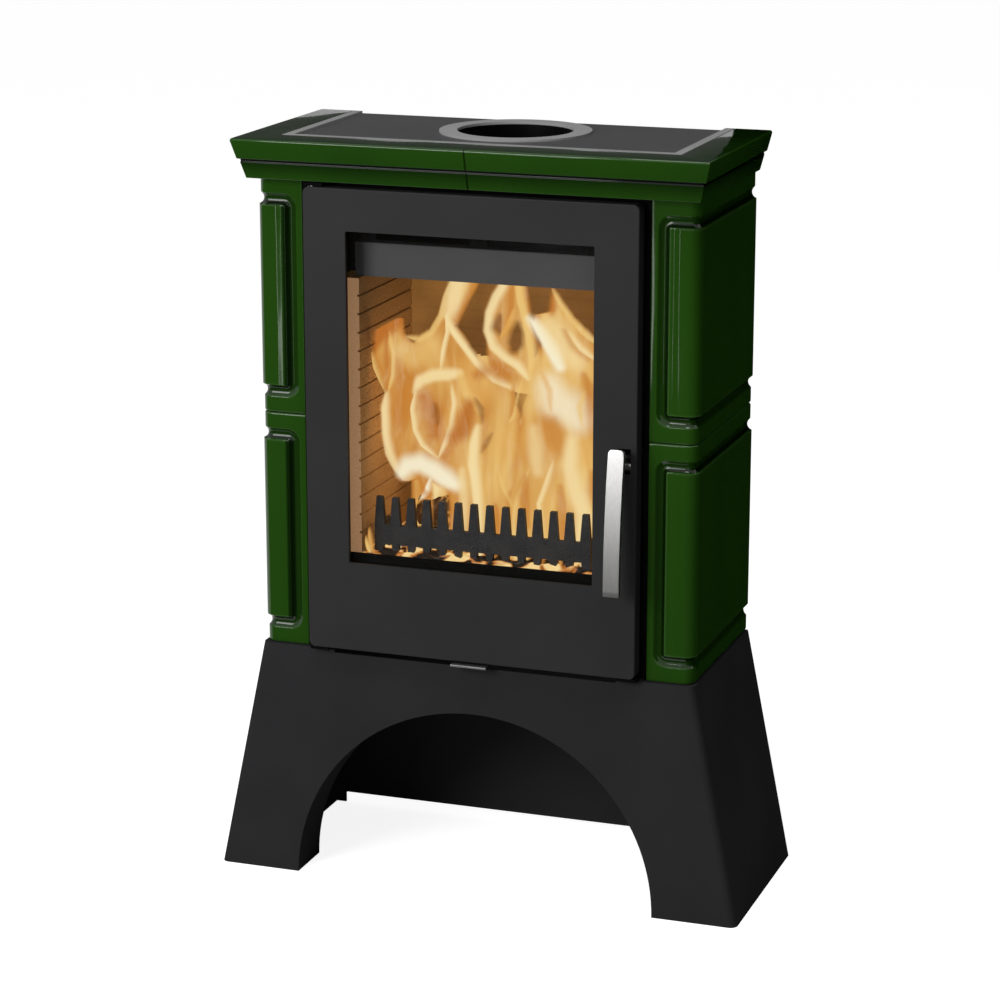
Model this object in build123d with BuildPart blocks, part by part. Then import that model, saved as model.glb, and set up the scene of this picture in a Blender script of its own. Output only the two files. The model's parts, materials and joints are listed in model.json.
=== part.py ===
"""Wood stove in glazed tiles: a flared sheet-steel plinth with an arch, a steel firebox with brick
lining, four corner-wrapping tiles, a two-piece tiled cornice and a glazed door with a lever handle.

Millimetres, +Z up. The front faces -Y. Depths are measured forwards from the back plane of the tiles."""
import os

from build123d import *

os.makedirs("parts", exist_ok=True)

# ---- overall layout -------------------------------------------------------------------------------
tile_span = 586.0  # across the outer faces of the side tiles
tile_front = 260.0  # depth of the tiles' front strips
plinth_height = 313.0  # floor to the underside of the lower tiles
lower_tile_height = 309.2
upper_tile_height = 305.0
tile_joint = 0.8
cornice_height = 52.0
door_front = 279.0  # depth of the door's front face
grip_reach = 40.0  # how far the grip stands out of the door's front face
overall_depth = door_front + grip_reach
back_y = overall_depth / 2

tile_half = tile_span / 2
joint_z = plinth_height + lower_tile_height
upper_tile_z = joint_z + tile_joint
cornice_z = upper_tile_z + upper_tile_height
top_z = cornice_z + cornice_height

# ---- sheet and clearances -------------------------------------------------------------------------
plinth_sheet = 3.0
jacket_sheet = 2.0
shell_plate = 4.0
rest_gap = 0.3  # between pieces that stand on or beside each other without a weld

# ---- tiles ----------------------------------------------------------------------------------------
tile_wall = 14.0
tile_strip = 63.0  # width of a tile's front strip
tile_corner_radius = 16.0
tile_inner_radius = 4.0
border_drop = 1.5  # the border lies this much below the raised panel
border_end = 28.0  # tile end to the groove's centre line
border_side = 16.0  # strip's inner edge to the groove's centre line
groove_radius = 8.0
groove_depth = 5.5  # below the raised panel
groove_bend = 9.0
panel_edge_radius = 1.4
tile_edge_radius = 2.2
tile_inner_x = tile_half - tile_strip
groove_rise = groove_radius - groove_depth  # the groove's centre line lies this far outside the panel
groove_half = (groove_radius**2 - groove_rise**2) ** 0.5

# ---- plinth ---------------------------------------------------------------------------------------
foot_half = 357.0
foot_front = 272.0
plinth_top_half = tile_half + 1.0
plinth_top_front = tile_front + 4.0
plinth_corner_radius = 10.0
deck_gap = 0.5
plinth_top = plinth_height - deck_gap
arch_radius = 245.0
arch_return = 72.0
liner_half = 286.0
liner_lift = 15.0
liner_front = 225.0
air_slot_half = 192.0
air_slot_lip = plinth_height - 5.0
deck_notch_back = 235.0

# ---- cornice section: outward offset and height from its lower outer edge -------------------------
cornice_overhang = 4.0
cornice_wall = 14.0
cornice_flange = 34.0
cornice_flange_thickness = 12.0
lower_fascia = (6.0, 19.0)
step_top = (10.0, 26.0)
cornice_brow = 16.0
cornice_arris = 3.0

# ---- top ------------------------------------------------------------------------------------------
top_frame_band = 12.0
top_frame_height = 14.0
top_plate_thickness = 11.0
flue_radius = 75.0
flue_wall = 3.0
flue_depth = 99.0
flue_ring_radius = 98.0
flue_ring_thickness = 2.5

# ---- door and window outline ---------------------------------------------------------------------
door_side_gap = 9.0  # tiles' inner edge to the door's edge
door_bottom_gap = 6.0
door_top_gap = 7.0
handle_inset = 16.0  # door's edge to the handle's middle
lever_slot_width = 16.0
ear_thickness = 3.3
latch_gap = 0.7  # glass retainer to the ears of the handle
retainer_edge = 1.0  # retainer's edge to the rope
rope_width = 10.0
window_to_rope = 23.0
window_sill = 117.0
window_head = 53.5
door_half = tile_inner_x - door_side_gap
door_bottom = plinth_height + door_bottom_gap
door_top = cornice_z - door_top_gap
handle_x = door_half - handle_inset
retainer_half = handle_x - lever_slot_width / 2 - ear_thickness - latch_gap
rope_middle = retainer_half - retainer_edge - rope_width / 2
window_half = rope_middle - window_to_rope
window_bottom = door_bottom + window_sill
window_top = door_top - window_head

# ---- body -----------------------------------------------------------------------------------------
brick_thickness = 30.0
side_brick_gap = 2.0
shell_half = window_half + brick_thickness + side_brick_gap + shell_plate
shell_back = 14.0
shell_front = tile_front - tile_wall
shell_lift = 13.0  # above the plinth
shell_drop = 22.0  # below the cornice
shell_bottom = plinth_height + shell_lift
shell_top = cornice_z - shell_drop
face_plate_front = shell_front + shell_plate
face_plate_half = tile_inner_x - 0.5
face_plate_bottom = plinth_height + 6.5
face_plate_top = cornice_z + 34.0
face_rim_width = 5.0
face_rim_front = tile_front - 4.0
fire_opening_half = window_half + 14.0
fire_opening_bottom = window_bottom + 6.0
fire_opening_top = window_top - 1.5
ash_opening_half = 124.0
ash_opening_bottom = shell_bottom + 7.0
ash_opening_height = 69.0
jacket_outer = 270.0
jacket_return = 30.0
jacket_top = top_z - top_frame_height
rail_height = 12.0
rail_inset = 40.0
shield_half = jacket_outer - 8.0
shield_front = 3.0
shield_bottom = plinth_height + 17.0
shield_top = cornice_z + 22.0
vent_length = 150.0
vent_height = 6.0
vent_pitch = 18.0
vent_rows = 6
shield_screw_rows = 3
shield_screw_inset = 15.0
screw_shank = 2.0

# ---- lining ---------------------------------------------------------------------------------------
brick_inner_half = window_half
brick_back_thickness = 28.0
brick_front = shell_front - 12.0
hearth_z = window_bottom + 4.0
hearth_brick = 28.0
hearth_plate_thickness = 4.0
lining_height = 360.0
brick_top = hearth_z + lining_height
brick_groove_pitch = 24.0
brick_groove_depth = 2.5
brick_groove_height = 3.0
baffle_thickness = 25.0
baffle_front = 185.0
grate_length = 220.0
grate_width = 120.0
grate_middle = 135.0
grate_rim = 12.0
grate_slots = 9
grate_slot_width = 9.0
pan_half = 118.0
pan_front = shell_front - 8.0
pan_back = 60.0
pan_height = 64.0
pan_sheet = 1.5
pan_grip_width = 90.0
pan_grip_reach = 6.0

deflector_half = window_half + 2.0
deflector_front = shell_front - 6.0
deflector_bottom = window_top - 62.5
deflector_height = 47.0
deflector_sheet = 2.0
hanger_width = 24.0
hanger_top = shell_top - 20.0
hanger_pitch = 150.0

guard_teeth = 14
guard_pitch = 21.5
guard_front = brick_front - 2.0
guard_thickness = 7.0
guard_foot = hearth_z + rest_gap
guard_rail_bottom = hearth_z + 12.0
guard_rail_top = hearth_z + 38.0
guard_top = hearth_z + 75.0
tooth_root_width = 14.0
tooth_tip_width = 8.0
guard_end_depth = 45.0

# ---- air control ----------------------------------------------------------------------------------
slider_thickness = 3.0
slider_half = 110.0
slider_front = shell_front - 14.0
slider_back = slider_front - 37.0
slider_z = plinth_top + rest_gap
air_tab_half = 24.0
air_tab_front = door_front + 5.0
air_port_length = 30.0
air_port_width = 22.0
air_port_inset = 12.0
air_port_pitch = 60.0
guide_half = 185.0

# ---- door -----------------------------------------------------------------------------------------
door_skin = 5.0
door_rim = 4.0
door_depth = 20.0
door_corner_radius = 8.0
door_edge_radius = 1.5
window_corner_radius = 2.0
glass_thickness = 4.0
glass_overlap = 8.0
glass_tape = 2.0
retainer_border = 28.0
retainer_lap = 4.0  # of the retainer behind the glass's edge
retainer_thickness = 9.5
retainer_screw_gap = 0.1
screw_grip = 3.0  # of a retainer screw in the door's skin
screw_head = 3.5
screw_head_height = 2.5
rope_edge_radius = 4.0
rope_corner_radius = 14.0

hinge_x = 9.0 - door_half
hinge_depth = door_front - 12.5
hinge_pin_radius = 4.0
hinge_running_gap = 0.06
bush_radius = 6.4
bush_length = 17.0
hinge_gap = 1.0
bracket_width = 25.0
bracket_plate = 4.0
bracket_leg = 3.5
bracket_leg_height = 28.0
bracket_nose = door_front - 4.0
pin_engagement = 15.0

# ---- handle and latch -----------------------------------------------------------------------------
grip_width = 20.5
grip_shift = 4.0  # the grip sits this much nearer the window than its lever
grip_thickness = 8.0
pivot_height = 273.0  # above the door's lower edge
pivot_setback = 11.0  # behind the door's front face
pivot_z = door_bottom + pivot_height
pivot_depth = door_front - pivot_setback
pivot_radius = 3.0
grip_above_pivot = 28.0
grip_below_pivot = 155.0
grip_top = pivot_z + grip_above_pivot
grip_bottom = pivot_z - grip_below_pivot
grip_top_set_back = 18.0  # the grip's upper end is this much nearer the door than its lower end
grip_corner_radius = 5.0
hub_radius = 6.5
hub_length = 15.4
lever_thickness = 8.0
lever_slot_bottom = pivot_z - 8.0
lever_slot_top = pivot_z + 25.0
neck_bottom = pivot_z + 6.0
neck_top = pivot_z + 16.0
ear_radius = 8.0
ear_back = pivot_depth - 5.5
hook_tip_back = face_plate_front - 1.0
hook_tip_thickness = 3.0
hook_bottom = pivot_z - 5.5
hook_top = pivot_z + 3.5
hook_tip_top = pivot_z + 8.5
striker_z = pivot_z + 8.0
striker_depth = face_plate_front + 5.5
striker_radius = 2.5
striker_ear = 3.3
striker_nose = 4.0
pocket_bottom = pivot_z - 20.0
pocket_top = pivot_z + 20.0


def y_at(depth):
    """The Y of a plane that lies this far in front of the tiles' back plane."""
    return back_y - depth


def slab(x_low, x_high, back, front, z_low, z_high, mode=Mode.ADD):
    """A box between two X planes, two depths and two heights."""
    middle = ((x_low + x_high) / 2, y_at((back + front) / 2), (z_low + z_high) / 2)
    with Locations(middle):
        Box(x_high - x_low, front - back, z_high - z_low, mode=mode)


def twin_slabs(x_low, x_high, back, front, z_low, z_high, mode=Mode.ADD):
    """The same box on the left and on the right."""
    slab(x_low, x_high, back, front, z_low, z_high, mode)
    slab(-x_high, -x_low, back, front, z_low, z_high, mode)


def cut_air_ports(shift, z_low, z_high):
    """The row of air ports through a plate, moved along X by a shift."""
    port_back = slider_back + air_port_inset
    for port in (-1, 0, 1):
        port_x = port * air_port_pitch + shift - air_port_length / 2
        slab(
            port_x, port_x + air_port_length, port_back, port_back + air_port_width, z_low, z_high, Mode.SUBTRACT
        )


def cut_brick_grooves(x_low, x_high, back, front):
    """Level grooves over the fire side of a brick."""
    for groove in range(1, int((brick_top - hearth_z) / brick_groove_pitch)):
        groove_z = hearth_z + groove * brick_groove_pitch
        slab(x_low, x_high, back, front, groove_z, groove_z + brick_groove_height, Mode.SUBTRACT)


def save(part, name):
    """Labels a finished piece and writes it."""
    part.label = name
    export_step(part, f"parts/{name}.step")


def save_mirrored(part, name):
    """Writes the left-hand twin of a right-hand piece."""
    save(mirror(part, about=Plane.YZ, mode=Mode.PRIVATE), name)


# ==== plinth =======================================================================================
def flared_form(inset, back):
    """The plinth's tapered volume, drawn in by a sheet's thickness and reaching back to a depth."""
    levels = ((0.0, foot_half, foot_front), (plinth_top, plinth_top_half, plinth_top_front))
    with BuildPart() as form:
        for height, half, front in levels:
            with BuildSketch(Plane.XY.offset(height)) as outline:
                with Locations((0, y_at((back + front - inset) / 2))):
                    Rectangle(2 * (half - inset), front - inset - back)
                fillet(outline.vertices().group_by(Axis.Y)[0], plinth_corner_radius - inset)
        loft()
    return form.part


plinth_form = flared_form(0.0, 0.0)
plinth_cavity = flared_form(plinth_sheet, -plinth_sheet)

with BuildPart() as back_flanges:
    twin_slabs(liner_half, foot_half, 0, plinth_sheet, 0, plinth_top)
    add(plinth_form, mode=Mode.INTERSECT)

with BuildPart() as plinth_shell:
    add(plinth_form)
    add(plinth_cavity, mode=Mode.SUBTRACT)
    add(back_flanges.part)
    with BuildSketch(Plane.XZ.offset(-y_at(liner_front))):
        Circle(arch_radius)
    extrude(amount=foot_front, mode=Mode.SUBTRACT)
    slab(-air_slot_half, air_slot_half, tile_front, foot_front, air_slot_lip, plinth_top, Mode.SUBTRACT)
save(plinth_shell.part, "plinth_shell")

with BuildPart() as arch_lining:
    with BuildSketch(Plane.XZ.offset(-y_at(foot_front - arch_return))):
        Circle(arch_radius + plinth_sheet)
        Circle(arch_radius, mode=Mode.SUBTRACT)
        with Locations((0, -arch_radius)):
            Rectangle(2 * foot_half, 2 * arch_radius, mode=Mode.SUBTRACT)
    extrude(amount=arch_return)
    add(plinth_cavity, mode=Mode.INTERSECT)
save(arch_lining.part, "arch_lining")

deck_bottom = plinth_top - plinth_sheet
with BuildPart() as plinth_liner:
    twin_slabs(
        liner_half - jacket_sheet,
        liner_half,
        plinth_sheet,
        liner_front - arch_return / 3,
        liner_lift,
        deck_bottom,
    )
    slab(-liner_half, liner_half, plinth_sheet - jacket_sheet, plinth_sheet, liner_lift, deck_bottom)
save(plinth_liner.part, "plinth_liner")

with BuildPart() as plinth_deck:
    slab(-plinth_top_half, plinth_top_half, plinth_sheet, plinth_top_front, deck_bottom, plinth_top)
    add(plinth_cavity, mode=Mode.INTERSECT)
    slab(
        -air_slot_half,
        air_slot_half,
        deck_notch_back,
        foot_front,
        deck_bottom,
        plinth_top,
        Mode.SUBTRACT,
    )
save(plinth_deck.part, "plinth_deck")


# ==== tiles ========================================================================================
def tile_section(drop, strip_inner_x):
    """The L-shaped section of a right-hand tile, its outer faces drawn in by a drop."""
    outer_x = tile_half - drop
    front_y = y_at(tile_front - drop)
    wall_x = tile_half - tile_wall
    wall_y = y_at(tile_front - tile_wall)
    with BuildSketch() as section:
        with BuildLine():
            outer = FilletPolyline(
                (outer_x, back_y), (outer_x, front_y), (strip_inner_x, front_y), radius=tile_corner_radius - drop
            )
            inner = FilletPolyline(
                (strip_inner_x, wall_y), (wall_x, wall_y), (wall_x, back_y), radius=tile_inner_radius
            )
            Line(outer @ 1, inner @ 0)
            Line(inner @ 1, outer @ 0)
        make_face()
    return section.sketch


def build_tile(bottom, height, name):
    """A right-hand tile with its raised panel, and its left-hand twin."""
    low_groove = bottom + border_end
    high_groove = bottom + height - border_end
    groove_x = tile_inner_x + border_side
    groove_front_y = y_at(tile_front + groove_rise)
    groove_side_x = tile_half + groove_rise
    corner_bend = tile_corner_radius + groove_rise
    panel_section = tile_section(0.0, groove_x + groove_half)
    border_section = tile_section(border_drop, tile_inner_x)

    with BuildPart() as panel:
        with BuildSketch(Plane.XY.offset(low_groove + groove_half)):
            add(panel_section)
        extrude(amount=high_groove - low_groove - 2 * groove_half)
        fillet(panel.edges().filter_by(Axis.Y).group_by(Axis.X)[-1], panel_edge_radius)

    with BuildPart() as tile:
        with BuildSketch(Plane.XY.offset(bottom)):
            add(border_section)
        extrude(amount=height)
        rims = tile.faces().filter_by(Axis.Z).edges()
        outer_rims = rims.filter_by(Axis.Y).group_by(Axis.X)[-1] + rims.filter_by(Axis.X).group_by(Axis.Y)[0]
        fillet(outer_rims + rims.filter_by(GeomType.CIRCLE).sort_by(Edge.length)[-2:], tile_edge_radius)
        add(panel.part)
        with BuildLine():
            channel = FilletPolyline(
                (groove_side_x, back_y + groove_radius, low_groove),
                (groove_side_x, groove_front_y, low_groove),
                (groove_x, groove_front_y, low_groove),
                (groove_x, groove_front_y, high_groove),
                (groove_side_x, groove_front_y, high_groove),
                (groove_side_x, back_y + groove_radius, high_groove),
                radius=(corner_bend, groove_bend, groove_bend, corner_bend),
            )
        with BuildSketch(Plane(origin=channel @ 0, z_dir=channel % 0)):
            Circle(groove_radius)
        sweep(path=channel, mode=Mode.SUBTRACT)
    save(tile.part, f"{name}_right")
    save_mirrored(tile.part, f"{name}_left")


build_tile(plinth_height, lower_tile_height, "lower_tile")
build_tile(upper_tile_z, upper_tile_height, "upper_tile")

# ==== cornice ======================================================================================
cornice_half = tile_half + cornice_overhang
with BuildPart() as cornice_right:
    with BuildLine():
        cornice_path = Polyline(
            (0, y_at(door_front), cornice_z),
            (cornice_half, y_at(door_front), cornice_z),
            (cornice_half, back_y, cornice_z),
        )
    with BuildSketch(Plane(origin=cornice_path @ 0, x_dir=(0, -1, 0), z_dir=(-1, 0, 0))) as section:
        with BuildLine():
            Polyline(
                (0, 0),
                lower_fascia,
                step_top,
                (cornice_brow, cornice_height),
                (-cornice_flange, cornice_height),
                (-cornice_flange, cornice_height - cornice_flange_thickness),
                (-cornice_wall, cornice_height - cornice_flange_thickness),
                (-cornice_wall, 0),
                close=True,
            )
        make_face()
        fillet(section.vertices().sort_by(Axis.Y)[0], cornice_arris)
    sweep(path=cornice_path, transition=Transition.RIGHT)
save(cornice_right.part, "cornice_right")
save_mirrored(cornice_right.part, "cornice_left")

# ==== top ==========================================================================================
frame_half = cornice_half - cornice_flange - deck_gap
frame_front = door_front - cornice_flange - deck_gap
panel_half = frame_half - top_frame_band
panel_front = frame_front - top_frame_band
with BuildPart() as top_frame:
    slab(-frame_half, frame_half, 0, frame_front, jacket_top, top_z)
    slab(-panel_half, panel_half, -top_frame_band, panel_front, jacket_top, top_z, Mode.SUBTRACT)
save(top_frame.part, "top_frame")

top_plate_z = jacket_top + top_plate_thickness
collar_radius = flue_radius + flue_wall
with BuildPart() as top_plate:
    slab(
        -panel_half + rest_gap, panel_half - rest_gap, 0, panel_front - rest_gap, jacket_top, top_plate_z
    )
    with Locations((0, y_at(flue_depth), top_plate_z)):
        Hole(collar_radius + rest_gap)
save(top_plate.part, "top_plate")

with BuildPart() as flue_collar:
    with BuildSketch(Plane.XY.offset(shell_top - shell_plate)):
        with Locations((0, y_at(flue_depth))):
            Circle(collar_radius)
    extrude(amount=top_plate_z + flue_ring_thickness - shell_top + shell_plate)
    with BuildSketch(Plane.XY.offset(top_plate_z)):
        with Locations((0, y_at(flue_depth))):
            Circle(flue_ring_radius)
    extrude(amount=flue_ring_thickness)
    with Locations((0, y_at(flue_depth), top_z)):
        Hole(flue_radius)
save(flue_collar.part, "flue_collar")

# ==== body =========================================================================================
shell_inner_half = shell_half - shell_plate
shell_inner_back = shell_back + shell_plate
with BuildPart() as firebox_side:
    slab(shell_inner_half, shell_half, shell_back, shell_front, shell_bottom, shell_top)
save(firebox_side.part, "firebox_side_right")
save_mirrored(firebox_side.part, "firebox_side_left")

with BuildPart() as firebox_back:
    slab(-shell_inner_half, shell_inner_half, shell_back, shell_inner_back, shell_bottom, shell_top)
save(firebox_back.part, "firebox_back")

with BuildPart() as firebox_floor:
    floor_top = shell_bottom + shell_plate
    slab(-shell_inner_half, shell_inner_half, shell_inner_back, shell_front, shell_bottom, floor_top)
    cut_air_ports(0, shell_bottom, floor_top)
save(firebox_floor.part, "firebox_floor")

with BuildPart() as firebox_roof:
    roof_bottom = shell_top - shell_plate
    slab(-shell_inner_half, shell_inner_half, shell_inner_back, shell_front, roof_bottom, shell_top)
    with Locations((0, y_at(flue_depth), shell_top)):
        Hole(collar_radius)
save(firebox_roof.part, "firebox_roof")

with BuildPart() as face_plate:
    slab(
        -face_plate_half,
        face_plate_half,
        shell_front,
        face_plate_front,
        face_plate_bottom,
        face_plate_top,
    )
    twin_slabs(
        face_plate_half - face_rim_width,
        face_plate_half,
        face_plate_front,
        face_rim_front,
        face_plate_bottom,
        cornice_z - hinge_gap,
    )
    slab(
        -fire_opening_half,
        fire_opening_half,
        shell_front,
        face_plate_front,
        fire_opening_bottom,
        fire_opening_top,
        Mode.SUBTRACT,
    )
    slab(
        -ash_opening_half,
        ash_opening_half,
        shell_front,
        face_plate_front,
        ash_opening_bottom,
        ash_opening_bottom + ash_opening_height,
        Mode.SUBTRACT,
    )
    slab(
        handle_x - lever_slot_width / 2,
        handle_x + lever_slot_width / 2,
        shell_front,
        face_plate_front,
        pocket_bottom,
        pocket_top,
        Mode.SUBTRACT,
    )
save(face_plate.part, "face_plate")

screw_step = (shield_top - shield_bottom) / shield_screw_rows
shield_screw_places = [
    (side * (shield_half - shield_screw_inset), shield_bottom + screw_step * (row + 0.5))
    for side in (-1, 1)
    for row in range(shield_screw_rows)
]
jacket_inner = jacket_outer - jacket_sheet
with BuildPart() as jacket_right:
    slab(jacket_inner, jacket_outer, shell_back, shell_front, plinth_top, jacket_top)
    slab(
        shell_half + deck_gap,
        jacket_outer,
        shell_front - jacket_sheet,
        shell_front,
        plinth_top,
        face_plate_top,
    )
    slab(
        jacket_outer - jacket_return,
        jacket_outer,
        shell_back,
        shell_back + jacket_sheet,
        plinth_top,
        jacket_top,
    )
    slab(
        jacket_outer - jacket_return,
        jacket_outer,
        shell_back,
        shell_front - jacket_sheet,
        jacket_top - jacket_sheet,
        jacket_top,
    )
    with BuildSketch(Plane.XZ.offset(-y_at(shell_back))):
        with Locations(shield_screw_places):
            Circle(screw_shank)
    extrude(amount=jacket_sheet, mode=Mode.SUBTRACT)
save(jacket_right.part, "side_jacket_right")
save_mirrored(jacket_right.part, "side_jacket_left")

rail_heights = (
    plinth_height + border_end,
    joint_z - border_end - rail_height,
    upper_tile_z + border_end,
    cornice_z - border_end - rail_height,
)
with BuildPart() as tile_rails_right:
    for rail_z in rail_heights:
        slab(
            jacket_outer,
            tile_half - tile_wall,
            rail_inset,
            tile_front - rail_inset,
            rail_z,
            rail_z + rail_height,
        )
save(tile_rails_right.part, "tile_rails_right")
save_mirrored(tile_rails_right.part, "tile_rails_left")

with BuildPart() as heat_shield:
    slab(-shield_half, shield_half, shield_front - jacket_sheet, shield_front, shield_bottom, shield_top)
    twin_slabs(
        shield_half - jacket_sheet, shield_half, shield_front, shell_back, shield_bottom, shield_top
    )
    for bank_z in (shield_bottom + 2 * vent_pitch, shield_top - (vent_rows + 2) * vent_pitch):
        for row in range(vent_rows):
            vent_z = bank_z + row * vent_pitch
            slab(-vent_length, vent_length, 0, shield_front, vent_z, vent_z + vent_height, Mode.SUBTRACT)
    with BuildSketch(Plane.XZ.offset(-y_at(0))):
        with Locations(shield_screw_places):
            Circle(screw_shank)
    extrude(amount=shield_front, mode=Mode.SUBTRACT)
save(heat_shield.part, "rear_heat_shield")

with BuildPart() as shield_screws:
    with BuildSketch(Plane.XZ.offset(-y_at(0))):
        with Locations(shield_screw_places):
            Circle(screw_head)
    extrude(amount=shield_front - jacket_sheet)
    with BuildSketch(Plane.XZ.offset(-y_at(0))):
        with Locations(shield_screw_places):
            Circle(screw_shank)
    extrude(amount=shell_back + jacket_sheet)
save(shield_screws.part, "heat_shield_screws")

# ==== lining and fire fittings =====================================================================
hearth_plate_top = hearth_z - hearth_brick
lining_back = shell_inner_back + rest_gap
brick_outer_half = brick_inner_half + brick_thickness
grate_back = grate_middle - grate_width / 2
grate_front = grate_middle + grate_width / 2

with BuildPart() as hearth_plate:
    slab(
        -shell_inner_half,
        shell_inner_half,
        shell_inner_back,
        shell_front,
        hearth_plate_top - hearth_plate_thickness,
        hearth_plate_top,
    )
    grate_ledge = grate_rim / 2
    slab(
        -grate_length / 2 + grate_ledge,
        grate_length / 2 - grate_ledge,
        grate_back + grate_ledge,
        grate_front - grate_ledge,
        hearth_plate_top - hearth_plate_thickness,
        hearth_plate_top,
        Mode.SUBTRACT,
    )
save(hearth_plate.part, "hearth_plate")

with BuildPart() as hearth_brick_piece:
    slab(-brick_outer_half, brick_outer_half, lining_back, brick_front, hearth_plate_top, hearth_z)
    slab(
        -grate_length / 2 - rest_gap,
        grate_length / 2 + rest_gap,
        grate_back - rest_gap,
        grate_front + rest_gap,
        hearth_plate_top,
        hearth_z,
        Mode.SUBTRACT,
    )
save(hearth_brick_piece.part, "hearth_brick")

with BuildPart() as fire_grate:
    slab(-grate_length / 2, grate_length / 2, grate_back, grate_front, hearth_plate_top, hearth_z)
    slot_step = (grate_length - 2 * grate_rim) / grate_slots
    for slot in range(grate_slots):
        slot_x = -grate_length / 2 + grate_rim + slot_step * (slot + 0.5)
        slab(
            slot_x - grate_slot_width / 2,
            slot_x + grate_slot_width / 2,
            grate_back + grate_rim,
            grate_front - grate_rim,
            hearth_plate_top,
            hearth_z,
            Mode.SUBTRACT,
        )
save(fire_grate.part, "fire_grate")

side_brick_back = lining_back + brick_back_thickness + rest_gap
with BuildPart() as side_brick_right:
    slab(brick_inner_half, brick_outer_half, side_brick_back, brick_front, hearth_z, brick_top)
    cut_brick_grooves(
        brick_inner_half, brick_inner_half + brick_groove_depth, side_brick_back, brick_front
    )
save(side_brick_right.part, "side_brick_right")
save_mirrored(side_brick_right.part, "side_brick_left")

with BuildPart() as back_brick:
    brick_face = lining_back + brick_back_thickness
    slab(-brick_outer_half, brick_outer_half, lining_back, brick_face, hearth_z, brick_top)
    cut_brick_grooves(-brick_inner_half, brick_inner_half, brick_face - brick_groove_depth, brick_face)
save(back_brick.part, "back_brick")

with BuildPart() as throat_baffle:
    slab(
        -brick_outer_half,
        brick_outer_half,
        lining_back,
        baffle_front,
        brick_top,
        brick_top + baffle_thickness,
    )
save(throat_baffle.part, "throat_baffle")

with BuildPart() as ash_pan:
    pan_z = shell_bottom + shell_plate
    slab(-pan_half, pan_half, pan_back, pan_front, pan_z, pan_z + pan_height)
    slab(
        -pan_half + pan_sheet,
        pan_half - pan_sheet,
        pan_back + pan_sheet,
        pan_front - pan_sheet,
        pan_z + pan_sheet,
        pan_z + pan_height,
        Mode.SUBTRACT,
    )
    grip_z = pan_z + pan_height / 2
    slab(
        -pan_grip_width / 2,
        pan_grip_width / 2,
        pan_front,
        pan_front + pan_grip_reach,
        grip_z,
        grip_z + pan_grip_reach,
    )
save(ash_pan.part, "ash_pan")

deflector_top = deflector_bottom + deflector_height
with BuildPart() as deflector:
    deflector_back = deflector_front - deflector_sheet
    slab(
        -deflector_half, deflector_half, deflector_back, deflector_front, deflector_bottom, deflector_top
    )
    for place in (-1, 0, 1):
        hanger_x = place * hanger_pitch
        hanger = (hanger_x - hanger_width / 2, hanger_x + hanger_width / 2)
        slab(*hanger, deflector_back, deflector_front, deflector_top, hanger_top)
        slab(*hanger, deflector_back, shell_front, hanger_top - deflector_sheet, hanger_top)
save(deflector.part, "airwash_deflector")

with BuildPart() as log_guard:
    guard_back = guard_front - guard_thickness
    guard_half = (guard_teeth - 1) * guard_pitch / 2
    guard_end = guard_half + tooth_root_width / 2
    slab(-guard_end, guard_end, guard_back, guard_front, guard_rail_bottom, guard_rail_top)
    with BuildSketch(Plane.XZ.offset(-y_at(guard_back))):
        for tooth in range(guard_teeth):
            tooth_x = tooth * guard_pitch - guard_half
            with BuildLine():
                Polyline(
                    (tooth_x - tooth_tip_width / 2, guard_foot),
                    (tooth_x + tooth_tip_width / 2, guard_foot),
                    (tooth_x + tooth_root_width / 2, guard_rail_top),
                    (tooth_x + tooth_tip_width / 2, guard_top),
                    (tooth_x - tooth_tip_width / 2, guard_top),
                    (tooth_x - tooth_root_width / 2, guard_rail_top),
                    close=True,
                )
            make_face()
    extrude(amount=guard_thickness)
    twin_slabs(
        guard_end - guard_thickness,
        guard_end,
        guard_front - guard_end_depth,
        guard_front,
        guard_foot,
        guard_rail_top,
    )
save(log_guard.part, "log_guard")

# ==== air control ==================================================================================
slider_top = slider_z + slider_thickness
with BuildPart() as air_guide:
    guide_z = slider_top + rest_gap
    slab(-guide_half, guide_half, slider_back, slider_front, guide_z, shell_bottom)
    cut_air_ports(0, guide_z, shell_bottom)
save(air_guide.part, "air_slide_guide")

with BuildPart() as air_slider:
    slab(-slider_half, slider_half, slider_back, slider_front, slider_z, slider_top)
    cut_air_ports(air_port_length / 2, slider_z, slider_top)
    slab(-air_tab_half, air_tab_half, slider_front, air_tab_front, slider_z, slider_top)
    fillet(
        air_slider.edges().filter_by(Axis.X).group_by(Axis.Y)[0].sort_by(Axis.Z)[-1],
        slider_thickness / 2,
    )
save(air_slider.part, "air_slider")

# ==== door =========================================================================================
door_back = door_front - door_depth
skin_back = door_front - door_skin
door_middle_z = (door_bottom + door_top) / 2
door_height = door_top - door_bottom
window_middle_z = (window_bottom + window_top) / 2
window_height = window_top - window_bottom
slot_middle_z = (lever_slot_bottom + lever_slot_top) / 2
glass_half = window_half + glass_overlap
screw_x = (glass_half + rope_middle - rope_width / 2) / 2
retainer_screw_places = [
    (side * screw_x, window_middle_z + row * window_height / 3) for side in (-1, 1) for row in (-1, 0, 1)
]

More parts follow.
